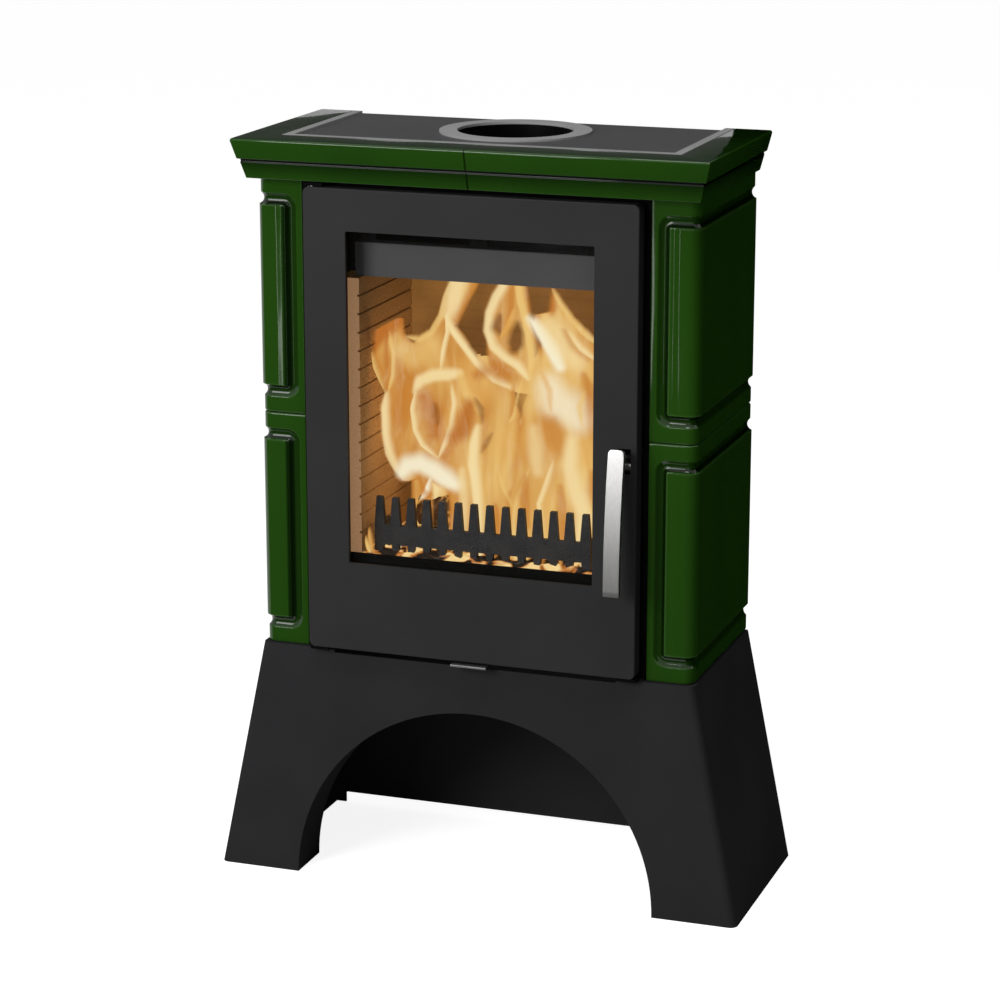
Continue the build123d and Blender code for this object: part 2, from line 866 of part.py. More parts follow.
with BuildPart() as door_frame:
    with BuildSketch(Plane.XZ.offset(-y_at(door_back))):
        with Locations((0, door_middle_z)):
            RectangleRounded(2 * door_half, door_height, door_corner_radius)
    extrude(amount=door_depth)
    fillet(door_frame.faces().sort_by(Axis.Y)[0].edges(), door_edge_radius)
    with BuildSketch(Plane.XZ.offset(-y_at(door_back))):
        with Locations((0, door_middle_z)):
            RectangleRounded(
                2 * (door_half - door_rim), door_height - 2 * door_rim, door_corner_radius - door_rim
            )
    extrude(amount=door_depth - door_skin, mode=Mode.SUBTRACT)
    with BuildSketch(Plane.XZ.offset(-y_at(skin_back))):
        with Locations((0, window_middle_z)):
            RectangleRounded(2 * window_half, window_height, window_corner_radius)
        with Locations((handle_x, slot_middle_z)):
            Rectangle(lever_slot_width, lever_slot_top - lever_slot_bottom)
    extrude(amount=door_skin, mode=Mode.SUBTRACT)
    with BuildSketch(Plane.XZ.offset(-y_at(skin_back))):
        with Locations(retainer_screw_places):
            Circle(screw_shank)
    extrude(amount=screw_grip, mode=Mode.SUBTRACT)
    with BuildSketch(Plane.XY.offset(door_bottom)):
        with Locations((hinge_x, y_at(hinge_depth))):
            Circle(bush_radius)
    extrude(amount=door_height, mode=Mode.SUBTRACT)
save(door_frame.part, "door_frame")

glass_low = window_bottom - glass_overlap
glass_high = window_top + glass_overlap
glass_front = skin_back - glass_tape
glass_back = glass_front - glass_thickness
with BuildPart() as glass_tape_ring:
    slab(-glass_half, glass_half, glass_front, skin_back, glass_low, glass_high)
    slab(-window_half, window_half, glass_front, skin_back, window_bottom, window_top, Mode.SUBTRACT)
save(glass_tape_ring.part, "glass_seal")

with BuildPart() as door_glass:
    slab(-glass_half, glass_half, glass_back, glass_front, glass_low, glass_high)
save(door_glass.part, "door_glass")

retainer_back = skin_back - retainer_thickness
retainer_low = window_bottom - retainer_border
retainer_high = window_top + retainer_border
with BuildPart() as glass_retainer:
    slab(-retainer_half, retainer_half, retainer_back, skin_back, retainer_low, retainer_high)
    slab(
        retainer_lap - glass_half,
        glass_half - retainer_lap,
        retainer_back,
        skin_back,
        glass_low + retainer_lap,
        glass_high - retainer_lap,
        Mode.SUBTRACT,
    )
    slab(
        -glass_half - rest_gap,
        glass_half + rest_gap,
        glass_back,
        skin_back,
        glass_low - rest_gap,
        glass_high + rest_gap,
        Mode.SUBTRACT,
    )
    with BuildSketch(Plane.XZ.offset(-y_at(retainer_back))):
        with Locations(retainer_screw_places):
            Circle(screw_shank + retainer_screw_gap)
    extrude(amount=retainer_thickness, mode=Mode.SUBTRACT)
save(glass_retainer.part, "glass_retainer")

with BuildPart() as door_rope:
    rope_half = rope_middle + rope_width / 2
    rope_low = window_bottom - (rope_middle - window_half) - rope_width / 2
    rope_high = window_top + (rope_middle - window_half) + rope_width / 2
    with BuildSketch(Plane.XZ.offset(-y_at(face_plate_front + rest_gap))):
        with Locations((0, (rope_low + rope_high) / 2)):
            RectangleRounded(2 * rope_half, rope_high - rope_low, rope_corner_radius)
            RectangleRounded(
                2 * (rope_half - rope_width),
                rope_high - rope_low - 2 * rope_width,
                rope_corner_radius - rope_width,
                mode=Mode.SUBTRACT,
            )
    extrude(amount=retainer_back - face_plate_front - rest_gap)
    fillet(door_rope.faces().sort_by(Axis.Y)[-1].outer_wire().edges(), rope_edge_radius)
save(door_rope.part, "door_rope_seal")

with BuildPart() as retainer_screws:
    with BuildSketch(Plane.XZ.offset(-y_at(retainer_back - screw_head_height))):
        with Locations(retainer_screw_places):
            Circle(screw_head)
    extrude(amount=screw_head_height)
    with BuildSketch(Plane.XZ.offset(-y_at(retainer_back))):
        with Locations(retainer_screw_places):
            Circle(screw_shank)
    extrude(amount=retainer_thickness + screw_grip)
save(retainer_screws.part, "retainer_screws")

with BuildPart() as hinge_bushes:
    for bush_z in (door_bottom, door_top - bush_length):
        with BuildSketch(Plane.XY.offset(bush_z)):
            with Locations((hinge_x, y_at(hinge_depth))):
                Circle(bush_radius)
                Circle(hinge_pin_radius + hinge_running_gap, mode=Mode.SUBTRACT)
        extrude(amount=bush_length)
save(hinge_bushes.part, "hinge_bushes")


def bracket_body(x_middle, plate_z, leg_z):
    """An angle bracket on the face plate: a plate that reaches under or over the door, and a leg."""
    sides = (x_middle - bracket_width / 2, x_middle + bracket_width / 2)
    slab(*sides, face_plate_front, bracket_nose, plate_z, plate_z + bracket_plate)
    slab(*sides, face_plate_front, face_plate_front + bracket_leg, leg_z, leg_z + bracket_leg_height)


lower_plate_z = door_bottom - hinge_gap - bracket_plate
upper_plate_z = door_top + hinge_gap
bracket_x = hinge_x + (bracket_width / 2 - (door_half + hinge_x))
for bracket_name, plate_z, leg_z, pin_z in (
    ("hinge_bracket_lower", lower_plate_z, lower_plate_z, lower_plate_z),
    ("hinge_bracket_upper", upper_plate_z, upper_plate_z + bracket_plate - bracket_leg_height, door_top - pin_engagement),
):
    with BuildPart() as bracket:
        bracket_body(bracket_x, plate_z, leg_z)
        with Locations((hinge_x, y_at(hinge_depth), plate_z + bracket_plate)):
            Hole(hinge_pin_radius)
    save(bracket.part, bracket_name)
    with BuildPart() as hinge_pin:
        with BuildSketch(Plane.XY.offset(pin_z)):
            with Locations((hinge_x, y_at(hinge_depth))):
                Circle(hinge_pin_radius)
        extrude(amount=bracket_plate + hinge_gap + pin_engagement)
    save(hinge_pin.part, bracket_name.replace("bracket", "pin"))

with BuildPart() as door_rest:
    bracket_body(-bracket_x, lower_plate_z, lower_plate_z)
save(door_rest.part, "door_rest")


# ==== handle and latch =============================================================================
def plane_at_x(x):
    """A YZ drawing plane at an X, with depth forwards as its first direction."""
    return Plane(origin=(x, back_y, 0), x_dir=(0, -1, 0), z_dir=(-1, 0, 0))


grip_line_depth = overall_depth - grip_thickness / 2
with BuildPart() as handle_grip:
    with BuildSketch(plane_at_x(handle_x - grip_shift + grip_width / 2)):
        with BuildLine():
            TangentArc(
                (grip_line_depth, grip_bottom), (grip_line_depth - grip_top_set_back, grip_top), tangent=(0, 1)
            )
        trace(line_width=grip_thickness)
    extrude(amount=grip_width)
    top_face = handle_grip.faces().sort_by(Axis.Z)[-1]
    fillet(top_face.edges().filter_by(Axis.X, reverse=True), grip_corner_radius)
save(handle_grip.part, "handle_grip")

with BuildPart() as latch_lever:
    with BuildSketch(plane_at_x(handle_x + hub_length / 2)):
        with Locations((pivot_depth, pivot_z)):
            Circle(hub_radius)
    extrude(amount=hub_length)
    with BuildSketch(plane_at_x(handle_x + lever_thickness / 2)):
        with BuildLine():
            Polyline(
                (pivot_depth + hub_radius, pivot_z),
                (pivot_depth + hub_radius, neck_bottom),
                (grip_line_depth - grip_top_set_back, neck_bottom),
                (grip_line_depth - grip_top_set_back, neck_top),
                (pivot_depth, neck_top),
                (pivot_depth - hub_radius, hook_top),
                (hook_tip_back + hook_tip_thickness, hook_top),
                (hook_tip_back + hook_tip_thickness, hook_tip_top),
                (hook_tip_back, hook_tip_top),
                (hook_tip_back, hook_bottom),
                (pivot_depth, hook_bottom),
                close=True,
            )
        make_face()
    extrude(amount=lever_thickness)
    add(handle_grip.part, mode=Mode.SUBTRACT)
    with BuildSketch(plane_at_x(handle_x + hub_length / 2)):
        with Locations((pivot_depth, pivot_z)):
            Circle(pivot_radius + hinge_running_gap)
    extrude(amount=hub_length, mode=Mode.SUBTRACT)
save(latch_lever.part, "latch_lever")

slot_half = lever_slot_width / 2
with BuildPart() as handle_ears:
    for ear_x in (handle_x - slot_half, handle_x + slot_half + ear_thickness):
        with BuildSketch(plane_at_x(ear_x)):
            with Locations(((ear_back + skin_back) / 2, pivot_z)):
                Rectangle(skin_back - ear_back, 2 * ear_radius)
            with Locations((pivot_depth, pivot_z)):
                Circle(pivot_radius, mode=Mode.SUBTRACT)
        extrude(amount=ear_thickness)
save(handle_ears.part, "handle_ears")

with BuildPart() as handle_pin:
    with BuildSketch(plane_at_x(handle_x + slot_half + ear_thickness)):
        with Locations((pivot_depth, pivot_z)):
            Circle(pivot_radius)
    extrude(amount=2 * (slot_half + ear_thickness))
save(handle_pin.part, "handle_pivot_pin")

with BuildPart() as striker:
    for ear_x in (handle_x - slot_half, handle_x + slot_half + striker_ear):
        with BuildSketch(plane_at_x(ear_x)):
            with Locations(((face_plate_front + striker_depth + striker_nose) / 2, striker_z)):
                Rectangle(striker_depth + striker_nose - face_plate_front, 2 * striker_nose)
        extrude(amount=striker_ear)
    with BuildSketch(plane_at_x(handle_x + slot_half)):
        with Locations((striker_depth, striker_z)):
            Circle(striker_radius)
    extrude(amount=2 * slot_half)
save(striker.part, "latch_striker")
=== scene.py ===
"""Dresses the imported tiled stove: glazed tiles and cornice, painted steel, brushed handle and wood fire."""

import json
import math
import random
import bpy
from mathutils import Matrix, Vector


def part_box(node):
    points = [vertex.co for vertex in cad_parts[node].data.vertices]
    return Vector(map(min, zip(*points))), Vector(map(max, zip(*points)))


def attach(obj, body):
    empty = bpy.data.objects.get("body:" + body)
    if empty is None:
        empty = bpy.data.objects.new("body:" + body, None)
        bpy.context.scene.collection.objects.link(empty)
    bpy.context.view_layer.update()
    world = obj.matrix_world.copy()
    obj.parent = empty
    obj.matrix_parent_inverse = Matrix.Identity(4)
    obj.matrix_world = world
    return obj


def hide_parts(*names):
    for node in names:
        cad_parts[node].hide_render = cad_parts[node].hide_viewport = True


bl_info = {
    "name": "Tiled stove dresser",
    "version": (1, 0, 0),
    "blender": (4, 5, 0),
    "location": "3D View > Sidebar > Stove",
    "description": "Glazed tiles, painted steel, brick lining and a wood fire for the packed stove",
    "category": "Object",
}

from contextlib import contextmanager

import bpy
from mathutils import Vector, noise

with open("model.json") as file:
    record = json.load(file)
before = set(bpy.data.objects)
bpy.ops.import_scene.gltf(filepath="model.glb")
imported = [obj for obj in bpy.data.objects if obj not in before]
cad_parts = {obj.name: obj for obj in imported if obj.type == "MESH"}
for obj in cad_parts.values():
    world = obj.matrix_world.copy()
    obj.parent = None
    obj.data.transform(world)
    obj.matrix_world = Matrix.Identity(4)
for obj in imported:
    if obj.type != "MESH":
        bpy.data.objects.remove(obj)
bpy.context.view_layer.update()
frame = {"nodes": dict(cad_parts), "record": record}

MM = 0.001
TILE_LOW, TILE_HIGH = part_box("lower_tile_right")
CORNICE_LOW, CORNICE_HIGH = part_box("cornice_right")
GRIP_LOW, GRIP_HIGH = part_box("handle_grip")
BRICK_LOW, BRICK_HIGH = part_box("back_brick")
BACK_Y = TILE_HIGH[1]


def y_at(depth):
    """The Y of a plane this many millimetres in front of the tiles' back plane."""
    return BACK_Y - depth * MM


# ---- settings a user would change -----------------------------------------------------------------
COLOUR = {"subtype": "COLOR", "size": 3, "min": 0, "max": 1}
LENGTH = {"subtype": "DISTANCE", "unit": "LENGTH", "min": 0}
ANGLE = {"subtype": "ANGLE", "unit": "ROTATION"}
POWER = {"subtype": "POWER", "unit": "POWER", "min": 0}


class StoveGlaze(bpy.types.PropertyGroup):
    """The glaze of the tiles and the cornice."""

    colour: bpy.props.FloatVectorProperty(
        name="Glaze colour", description="Body colour of the glaze", default=(0.0175, 0.066, 0.0050), **COLOUR
    )
    pooled: bpy.props.FloatVectorProperty(
        name="Pooled colour", description="Colour where the glaze lies thicker",
        default=(0.008, 0.038, 0.0045), **COLOUR,
    )
    ripple: bpy.props.FloatProperty(
        name="Ripple", description="Height of the slow waves of the glaze",
        default=0.00035, max=0.002, **LENGTH,
    )


class StovePaint(bpy.types.PropertyGroup):
    """The heat-proof paint of the steel."""

    door: bpy.props.FloatVectorProperty(
        name="Door colour", description="Paint of door and body", default=(0.0226, 0.0226, 0.0233), **COLOUR
    )
    plinth: bpy.props.FloatVectorProperty(
        name="Plinth colour", description="Paint of the plinth", default=(0.0262, 0.0262, 0.0276), **COLOUR
    )
    grain: bpy.props.FloatProperty(
        name="Grain", description="Height of the paint's fine grain", default=0.00006, max=0.001, **LENGTH
    )


class StoveFire(bpy.types.PropertyGroup):
    """The wood fire."""

    bright: bpy.props.FloatVectorProperty(
        name="Bright flame", description="Colour of the flames' fine bright streaks",
        default=(0.93, 0.80, 0.55), **COLOUR,
    )
    glow: bpy.props.FloatProperty(
        name="Glow", description="Light of the fire on the brick lining", default=1.0, max=50, **POWER
    )


class StoveStage(bpy.types.PropertyGroup):
    """Floor, lights and camera."""

    lens: bpy.props.FloatProperty(
        name="Lens", description="Focal length on a 36 mm sensor", subtype="DISTANCE_CAMERA",
        default=111.7, min=20, max=300,
    )
    camera_place: bpy.props.FloatVectorProperty(
        name="Camera place", description="Where the camera stands", subtype="TRANSLATION", unit="LENGTH",
        size=3, default=(1.2949, -3.6794, 1.5265),
    )
    camera_pitch: bpy.props.FloatProperty(
        name="Camera pitch", description="How far the camera looks down", default=0.2562, **ANGLE
    )
    camera_turn: bpy.props.FloatProperty(
        name="Camera turn", description="How far the camera looks to the left of straight back",
        default=0.3384, **ANGLE,
    )
    key_power: bpy.props.FloatProperty(
        name="Key light", description="Power of the large light at the front left",
        default=66, max=1000, **POWER,
    )
    top_power: bpy.props.FloatProperty(
        name="Top light", description="Power of the light overhead", default=26, max=1000, **POWER
    )
    rim_power: bpy.props.FloatProperty(
        name="Rim light", description="Power of the light behind on the right", default=1.5, max=1000, **POWER
    )
    strip_power: bpy.props.FloatProperty(
        name="Strip light", description="Power of the narrow light that draws the stripe on the left tiles",
        default=2.0, max=1000, **POWER,
    )
    world_level: bpy.props.FloatProperty(
        name="Room light", description="Strength of the even light from all round",
        default=0.17, min=0, max=5,
    )
    card_level: bpy.props.FloatProperty(
        name="Grey card", description="Strength of the card that the top reflects",
        default=0.075, min=0, max=5,
    )


# ---- shader building ------------------------------------------------------------------------------
SEEING_RAYS = ("Camera", "Transmission", "Glossy")


def grey(level):
    return (level, level, level)


class Wire:
    """A shader value that Python arithmetic works on."""

    def __init__(self, finish, socket):
        self.finish = finish
        self.socket = socket

    def math(self, operation, *values):
        return self.finish.node("ShaderNodeMath", {"operation": operation}, dict(enumerate(values)))

    def __add__(self, other):
        return self.math("ADD", self, other)

    def __sub__(self, other):
        return self.math("SUBTRACT", self, other)

    def __rsub__(self, other):
        return self.math("SUBTRACT", other, self)

    def __mul__(self, other):
        return self.math("MULTIPLY", self, other)

    __radd__ = __add__
    __rmul__ = __mul__

    def most(self, other):
        return self.math("MAXIMUM", self, other)

    def rise(self, low, high):
        """Smoothly from 0 at low to 1 at high."""
        return self.finish.node(
            "ShaderNodeMapRange", {"interpolation_type": "SMOOTHSTEP"},
            {0: self, 1: low, 2: high, 3: 0.0, 4: 1.0},
        )


class Finish:
    """A material or a world under construction, with one method that adds any node."""

    def __init__(self, name, kind="materials", output="ShaderNodeOutputMaterial"):
        self.owner = getattr(bpy.data, kind).new(name)
        self.owner.use_nodes = True
        self.tree = self.owner.node_tree
        self.tree.nodes.clear()
        self.output = self.tree.nodes.new(output)

    def plug(self, socket, value):
        if isinstance(value, Wire):
            self.tree.links.new(value.socket, socket)
        elif hasattr(socket.default_value, "__len__") and len(socket.default_value) == 4 and len(value) == 3:
            socket.default_value = (*value, 1)
        else:
            socket.default_value = value

    def node(self, kind, settings=None, inputs=None, output=0):
        made = self.tree.nodes.new(kind)
        for name, value in (settings or {}).items():
            setattr(made, name, value)
        for key, value in (inputs or {}).items():
            self.plug(made.inputs[key], value)
        return Wire(self, made.outputs[output])

    def place(self, scale=(1, 1, 1)):
        where = self.node("ShaderNodeTexCoord", output="Object")
        return self.node("ShaderNodeMapping", {}, {"Vector": where, "Scale": scale})

    def part(self, vector, axis):
        return self.node("ShaderNodeSeparateXYZ", {}, {0: vector}, output=axis)

    def height(self):
        """Z in the piece's own coordinates, which on the stove's body is metres above the floor."""
        return self.part(self.place(), 2)

    def attribute(self, name, output=0):
        return self.node("ShaderNodeAttribute", {"attribute_name": name}, output=output)

    def cells(self, scale, feature="F1"):
        where = self.place()
        return self.node("ShaderNodeTexVoronoi", {"feature": feature}, {"Vector": where, "Scale": scale})

    def noise(self, scale, detail=2.0, roughness=0.5, stretch=(1, 1, 1), warp=0.0):
        return self.node(
            "ShaderNodeTexNoise", {},
            {"Vector": self.place(stretch), "Scale": scale, "Detail": detail, "Roughness": roughness,
             "Distortion": warp},
        )

    def blend(self, amount, first, second):
        return self.node("ShaderNodeMix", {"data_type": "RGBA"}, {0: amount, 6: first, 7: second}, output=2)

    def bump(self, height, distance, strength=1.0):
        return self.node("ShaderNodeBump", {}, {"Height": height, "Distance": distance, "Strength": strength})

    def cover(self, shader):
        """Ends the shader and gives back its material or world."""
        self.plug(self.output.inputs["Surface"], shader)
        return self.owner

    def surface(self, sockets):
        return self.cover(self.node("ShaderNodeBsdfPrincipled", {}, sockets))

    def cover_by_ray(self, others, seen):
        """Covers with one shader for camera, transmission and glossy rays, and another for all the others."""
        rays = [self.node("ShaderNodeLightPath", output=f"Is {ray} Ray") for ray in SEEING_RAYS]
        amount = rays[0].most(rays[1]).most(rays[2])
        return self.cover(self.node("ShaderNodeMixShader", {}, {0: amount, 1: others, 2: seen}))


def paint_finish(name, colour, grain, roughness=0.55, shine=0.12):
    """Matt stove paint: a fine grain, slightly uneven in colour and gloss."""
    finish = Finish(name)
    cloud = finish.noise(7, 3)
    grit = finish.noise(1600, 2)
    lighter = tuple(c * 1.16 for c in colour)
    return finish.surface({
        "Base Color": finish.blend(cloud.rise(0.3, 0.7), colour, lighter),
        "Roughness": cloud * 0.12 + (roughness - 0.06),
        "Specular IOR Level": shine,
        "Normal": finish.bump(grit, grain, 0.6),
    })


def glaze_finish(glaze):
    """Green glaze: glassy, with slow waves, a painted shade in the grooves and a painted highlight on sharp
    edges.
    """
    finish = Finish("rippled_glaze")
    # The attribute holds painted shade above 0 and painted highlight below 0, and on the cornice also the
    # dark joint between its halves.
    painted_light_and_joint = finish.attribute("glaze_painted_light_and_joint", 2)
    cloud = finish.noise(5, 2, stretch=(1, 1, 0.4))
    waves = finish.noise(9, 1, stretch=(1, 1, 0.55))
    speck = finish.noise(420, 2)
    body = finish.blend(cloud.rise(0.3, 0.8) * 0.35, glaze.colour, glaze.pooled)
    # Darker where the attribute is above 0: painted shade in the grooves and on the cornice's step line and
    # top, and the cornice's dark joint.
    body = finish.blend(painted_light_and_joint.most(0.0), body, (0.0012, 0.0045, 0.0008))
    # Painted highlight: pale green where the attribute is below 0, on the tiles' sharp edges and rims.
    body = finish.blend((0 - painted_light_and_joint).most(0.0), body, (0.060, 0.130, 0.040))
    return finish.surface({
        "Base Color": finish.blend(speck.rise(0.68, 0.8) * 0.25, body, (0.004, 0.018, 0.002)),
        "Roughness": cloud * 0.05 + 0.06,
        "Specular IOR Level": 0.27,
        "Normal": finish.bump(waves, glaze.ripple * 10),
    })


def brushed_finish(name, colour, stretch, roughness=0.3, shade=0.72):
    """Brushed steel: fine streaks along one axis."""
    finish = Finish(name)
    streak = finish.noise(900, 3, stretch=stretch)
    broad = finish.noise(60, 2, stretch=stretch)
    darker = tuple(c * shade for c in colour)
    return finish.surface({
        "Base Color": finish.blend(streak.rise(0.3, 0.7), colour, darker),
        "Roughness": streak * 0.06 + broad * 0.06 + (roughness - 0.06),
        "Metallic": 1.0,
        "Normal": finish.bump(streak, 0.00002, 0.5),
    })


def paint_and_painted_shade_finish(name, grain, edge, below, above, roughness, shine):
    """Matt paint in two greys that meet between two heights; the black one is painted shade."""
    finish = Finish(name)
    return finish.surface({
        "Base Color": finish.blend(finish.height().rise(*edge), below, above),
        "Roughness": finish.noise(7, 3) * 0.1 + roughness,
        "Specular IOR Level": shine,
        "Normal": finish.bump(finish.noise(1600, 2), grain, 0.6),
    })


BRICK_FLAKES = 260.0  # flakes in a metre of brick


def fire_lit_brick_finish():
    """Brick at the back of the fire: brown with painted firelight, an emission that stands for the fire's
    light on it, and black above the baffle.
    """
    finish = Finish("fire_lit_brick")
    cloud = finish.noise(9, 3)
    grit = finish.cells(BRICK_FLAKES)
    # glow is painted light: the emission that stands for the fire's light on the brick.
    glow = finish.blend(cloud.rise(0.3, 0.7), (0.13, 0.054, 0.012), (0.24, 0.105, 0.024))
    above = finish.height().rise(0.765, 0.795)
    return finish.surface({
        "Base Color": finish.blend(above, (0.050, 0.027, 0.012), grey(0.003)),
        "Roughness": 0.95,
        "Specular IOR Level": 0.1,
        "Emission Color": finish.blend(above, glow, grey(0)),
        "Emission Strength": 1.0,
        "Normal": finish.bump(grit, 0.0012, 0.6),
    })


def iron_finish():
    """Cast iron, sandy and dark, with rubbed high spots."""
    finish = Finish("cast_iron")
    sand = finish.noise(700, 4)
    patch = finish.noise(45, 3)
    return finish.surface({
        "Base Color": finish.blend(patch.rise(0.35, 0.7), (0.010, 0.010, 0.011), (0.022, 0.021, 0.021)),
        "Roughness": patch * 0.2 + 0.45,
        "Metallic": 0.25,
        "Normal": finish.bump(sand, 0.0006, 0.7),
    })


def brick_finish():
    """Fire-board brick: pale brown, speckled with flakes, sooted towards the top, with painted firelight on
    the faces turned to the front.
    """
    finish = Finish("fire_brick")
    flake = finish.cells(BRICK_FLAKES)
    cloud = finish.noise(14, 4)
    soot = (finish.height() + cloud * 0.16).rise(0.74, 0.98) * 0.7
    body = finish.blend(cloud.rise(0.3, 0.7), (0.36, 0.225, 0.105), (0.46, 0.30, 0.15))
    speckled = finish.blend(flake.rise(0.2, 0.75) * 0.4, body, (0.25, 0.15, 0.07))
    # Painted light: the faces turned to the front glow tan, an emission that stands for the fire's light on
    # them; the other faces glow faintly.
    facing = finish.part(finish.node("ShaderNodeNewGeometry", output=1), 1)
    edge = (0 - facing).rise(0.6, 0.9)
    return finish.surface({
        "Base Color": finish.blend(soot, speckled, (0.035, 0.026, 0.02)),
        "Roughness": 0.9,
        "Specular IOR Level": 0.15,
        "Emission Color": finish.blend(edge, (0.012, 0.006, 0.001), (0.24, 0.13, 0.065)),
        "Emission Strength": 1.0,
        "Normal": finish.bump(flake, 0.0012, 0.6),
    })


def glass_finish():
    """Clear heat-proof glass with a faint sheen."""
    finish = Finish("window_glass")
    haze = finish.noise(9, 3)
    return finish.surface({
        "Base Color": (0.05, 0.045, 0.04),
        "Roughness": 0.04,
        "Specular IOR Level": 0.08,
        "Alpha": haze * 0.04 + 0.015,
    })


def rope_finish():
    """Ceramic rope: a tight diagonal plait."""
    finish = Finish("seal_rope")
    plait = finish.node(
        "ShaderNodeTexWave", {"bands_direction": "DIAGONAL"},
        {"Vector": finish.place(), "Scale": 130.0, "Distortion": 2.0, "Detail": 1.0}, output=1,
    )
    return finish.surface({
        "Base Color": finish.blend(plait, (0.06, 0.056, 0.052), (0.17, 0.16, 0.15)),
        "Roughness": 0.95,
        "Normal": finish.bump(plait, 0.0012),
    })


def flame_finish(fire):
    """Burning gas: the colour and cover that each sheet of flame was painted with, combed upwards."""
    finish = Finish("flame")
    colour = finish.attribute("gas_paint")
    cover = finish.attribute("gas_paint", 3)
    comb = finish.noise(46, 4, 0.6, stretch=(1, 1, 0.2), warp=1.2)
    return finish.surface({
        "Base Color": grey(0),
        "Roughness": 1.0,
        "Specular IOR Level": 0.0,
        "Alpha": cover,
        "Emission Color": finish.blend(comb.rise(0.45, 0.75) * 0.16, colour, fire.bright),
        "Emission Strength": 1.04,
    })


def ember_finish():
    """Burning wood: black char split by glowing cracks."""
    finish = Finish("embers")
    crack = finish.cells(70.0, "DISTANCE_TO_EDGE")
    patch = finish.noise(34, 3)
    glow = (1 - crack.rise(0.0, 0.16)) * patch.rise(0.38, 0.6)
    ash = finish.noise(90, 4)
    colour = finish.blend(glow, (0.050, 0.018, 0.004), (0.66, 0.30, 0.06))
    return finish.surface({
        "Base Color": finish.blend(ash.rise(0.5, 0.75), (0.012, 0.010, 0.009), (0.10, 0.085, 0.07)),
        "Roughness": 0.95,
        "Specular IOR Level": 0.1,
        "Emission Color": colour,
        "Emission Strength": 1.0,
        "Normal": finish.bump(crack, 0.004),
    })


# ---- modelling helpers ----------------------------------------------------------------------------
def deselect():
    bpy.ops.object.select_all(action="DESELECT")


def pick(piece):
    deselect()
    piece.select_set(True)
    bpy.context.view_layer.objects.active = piece


@contextmanager
def edit_mode(piece):
    pick(piece)
    bpy.ops.object.mode_set(mode="EDIT")
    yield
    bpy.ops.object.mode_set(mode="OBJECT")


def named(name):
    """The piece that was added last, under its name."""
    piece = bpy.context.object
    piece.name = piece.data.name = name
    return piece


def apply_modifier(piece, kind, **settings):
    """Adds a modifier with its settings and applies it."""
    pick(piece)
    modifier = piece.modifiers.new(kind.title(), kind)
    for name, value in settings.items():
        setattr(modifier, name, value)
    bpy.ops.object.modifier_apply(modifier=modifier.name)


def bevel(piece, width, segments):
    """Rounds every edge that turns by more than 50 degrees."""
    apply_modifier(
        piece, "BEVEL", width=width, segments=segments, limit_method="ANGLE", angle_limit=math.radians(50)
    )


def tidy_mesh(piece, angle=None):
    """Turns every face outwards and smooths the shading up to an angle."""
    with edit_mode(piece):
        bpy.ops.mesh.select_all(action="SELECT")
        bpy.ops.mesh.normals_make_consistent(inside=False)
    if angle is None:
        bpy.ops.object.shade_smooth()
    else:
        bpy.ops.object.shade_smooth_by_angle(angle=math.radians(angle))


def add_grid(name, columns, rows, wall=None):
    """A grid of columns by rows of points over a square from -1 to 1, with a second layer below if walled."""
    deselect()
    bpy.ops.mesh.primitive_grid_add(x_subdivisions=columns - 1, y_subdivisions=rows - 1, size=2)
    piece = named(name)
    if len(piece.data.vertices) != columns * rows:
        raise RuntimeError(f"{name}: the grid has {len(piece.data.vertices)} points, not {columns * rows}")
    if wall:
        apply_modifier(piece, "SOLIDIFY", thickness=wall, offset=-1)
    return piece


def grid_spot(vertex, columns, rows):
    """The column and the row of a point of a grid that isn't bent yet."""
    return round((vertex.co.x + 1) / 2 * (columns - 1)), round((vertex.co.y + 1) / 2 * (rows - 1))


def bend_grid(piece, columns, rows, place, painted_light_and_joint=None):
    """Moves each point of a grid to place(column, row, layer), and stores the painted shade and highlight of
    its glaze.
    """
    # thickness is the attribute of the glaze's painted shade and highlight.
    thickness = piece.data.attributes.new("glaze_painted_light_and_joint", "FLOAT", "POINT") if painted_light_and_joint else None
    for vertex in piece.data.vertices:
        column, row = grid_spot(vertex, columns, rows)
        vertex.co = place(column, row, 0 if abs(vertex.co.z) < 1e-6 else 1)
        if painted_light_and_joint:
            thickness.data[vertex.index].value = painted_light_and_joint(column, row)
    piece.data.update()


def dress(piece, finish, body="stove", replaces=()):
    """Gives a finished piece its material and its body, and hides the nodes that it stands for."""
    piece.data.materials.clear()
    piece.data.materials.append(finish)
    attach(piece, body)
    if replaces:
        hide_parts(*replaces)


def steps(low, high, pitch):
    """Even steps from low to high, both included, about a pitch apart."""
    count = max(1, round((high - low) / pitch))
    return [low + (high - low) * i / count for i in range(count + 1)]


# ---- tiles ----------------------------------------------------------------------------------------
CORNER = 16 * MM
STRIP = TILE_HIGH[0] - TILE_LOW[0]
TILE_FRONT = TILE_LOW[1]
TILE_SIDE = TILE_HIGH[0]
TILE_WALL = 14 * MM
FLAT = STRIP - CORNER
ARC = CORNER * math.pi / 2
TILE_ALONG = FLAT + ARC + (BACK_Y - TILE_FRONT - CORNER)
BORDER_DROP = 1.5 * MM
BORDER_BLEND = 2.6 * MM
PANEL_LIFT = 0.5 * MM
PANEL_BLEND = 1.3 * MM
GROOVE_SIDE = 16 * MM
GROOVE_END = 28 * MM
GROOVE_RADIUS = 8 * MM
GROOVE_RISE = 2.5 * MM
GROOVE_BEND = 10 * MM
GROOVE_WALL_SLOPE = 6
GROOVE_WALL_TOP = (6.2, 7.6)  # millimetres inwards of the groove's middle
FACET_RISE = 0.9 * MM
FACET_START = 13.5
FACET_WIDTH = 7
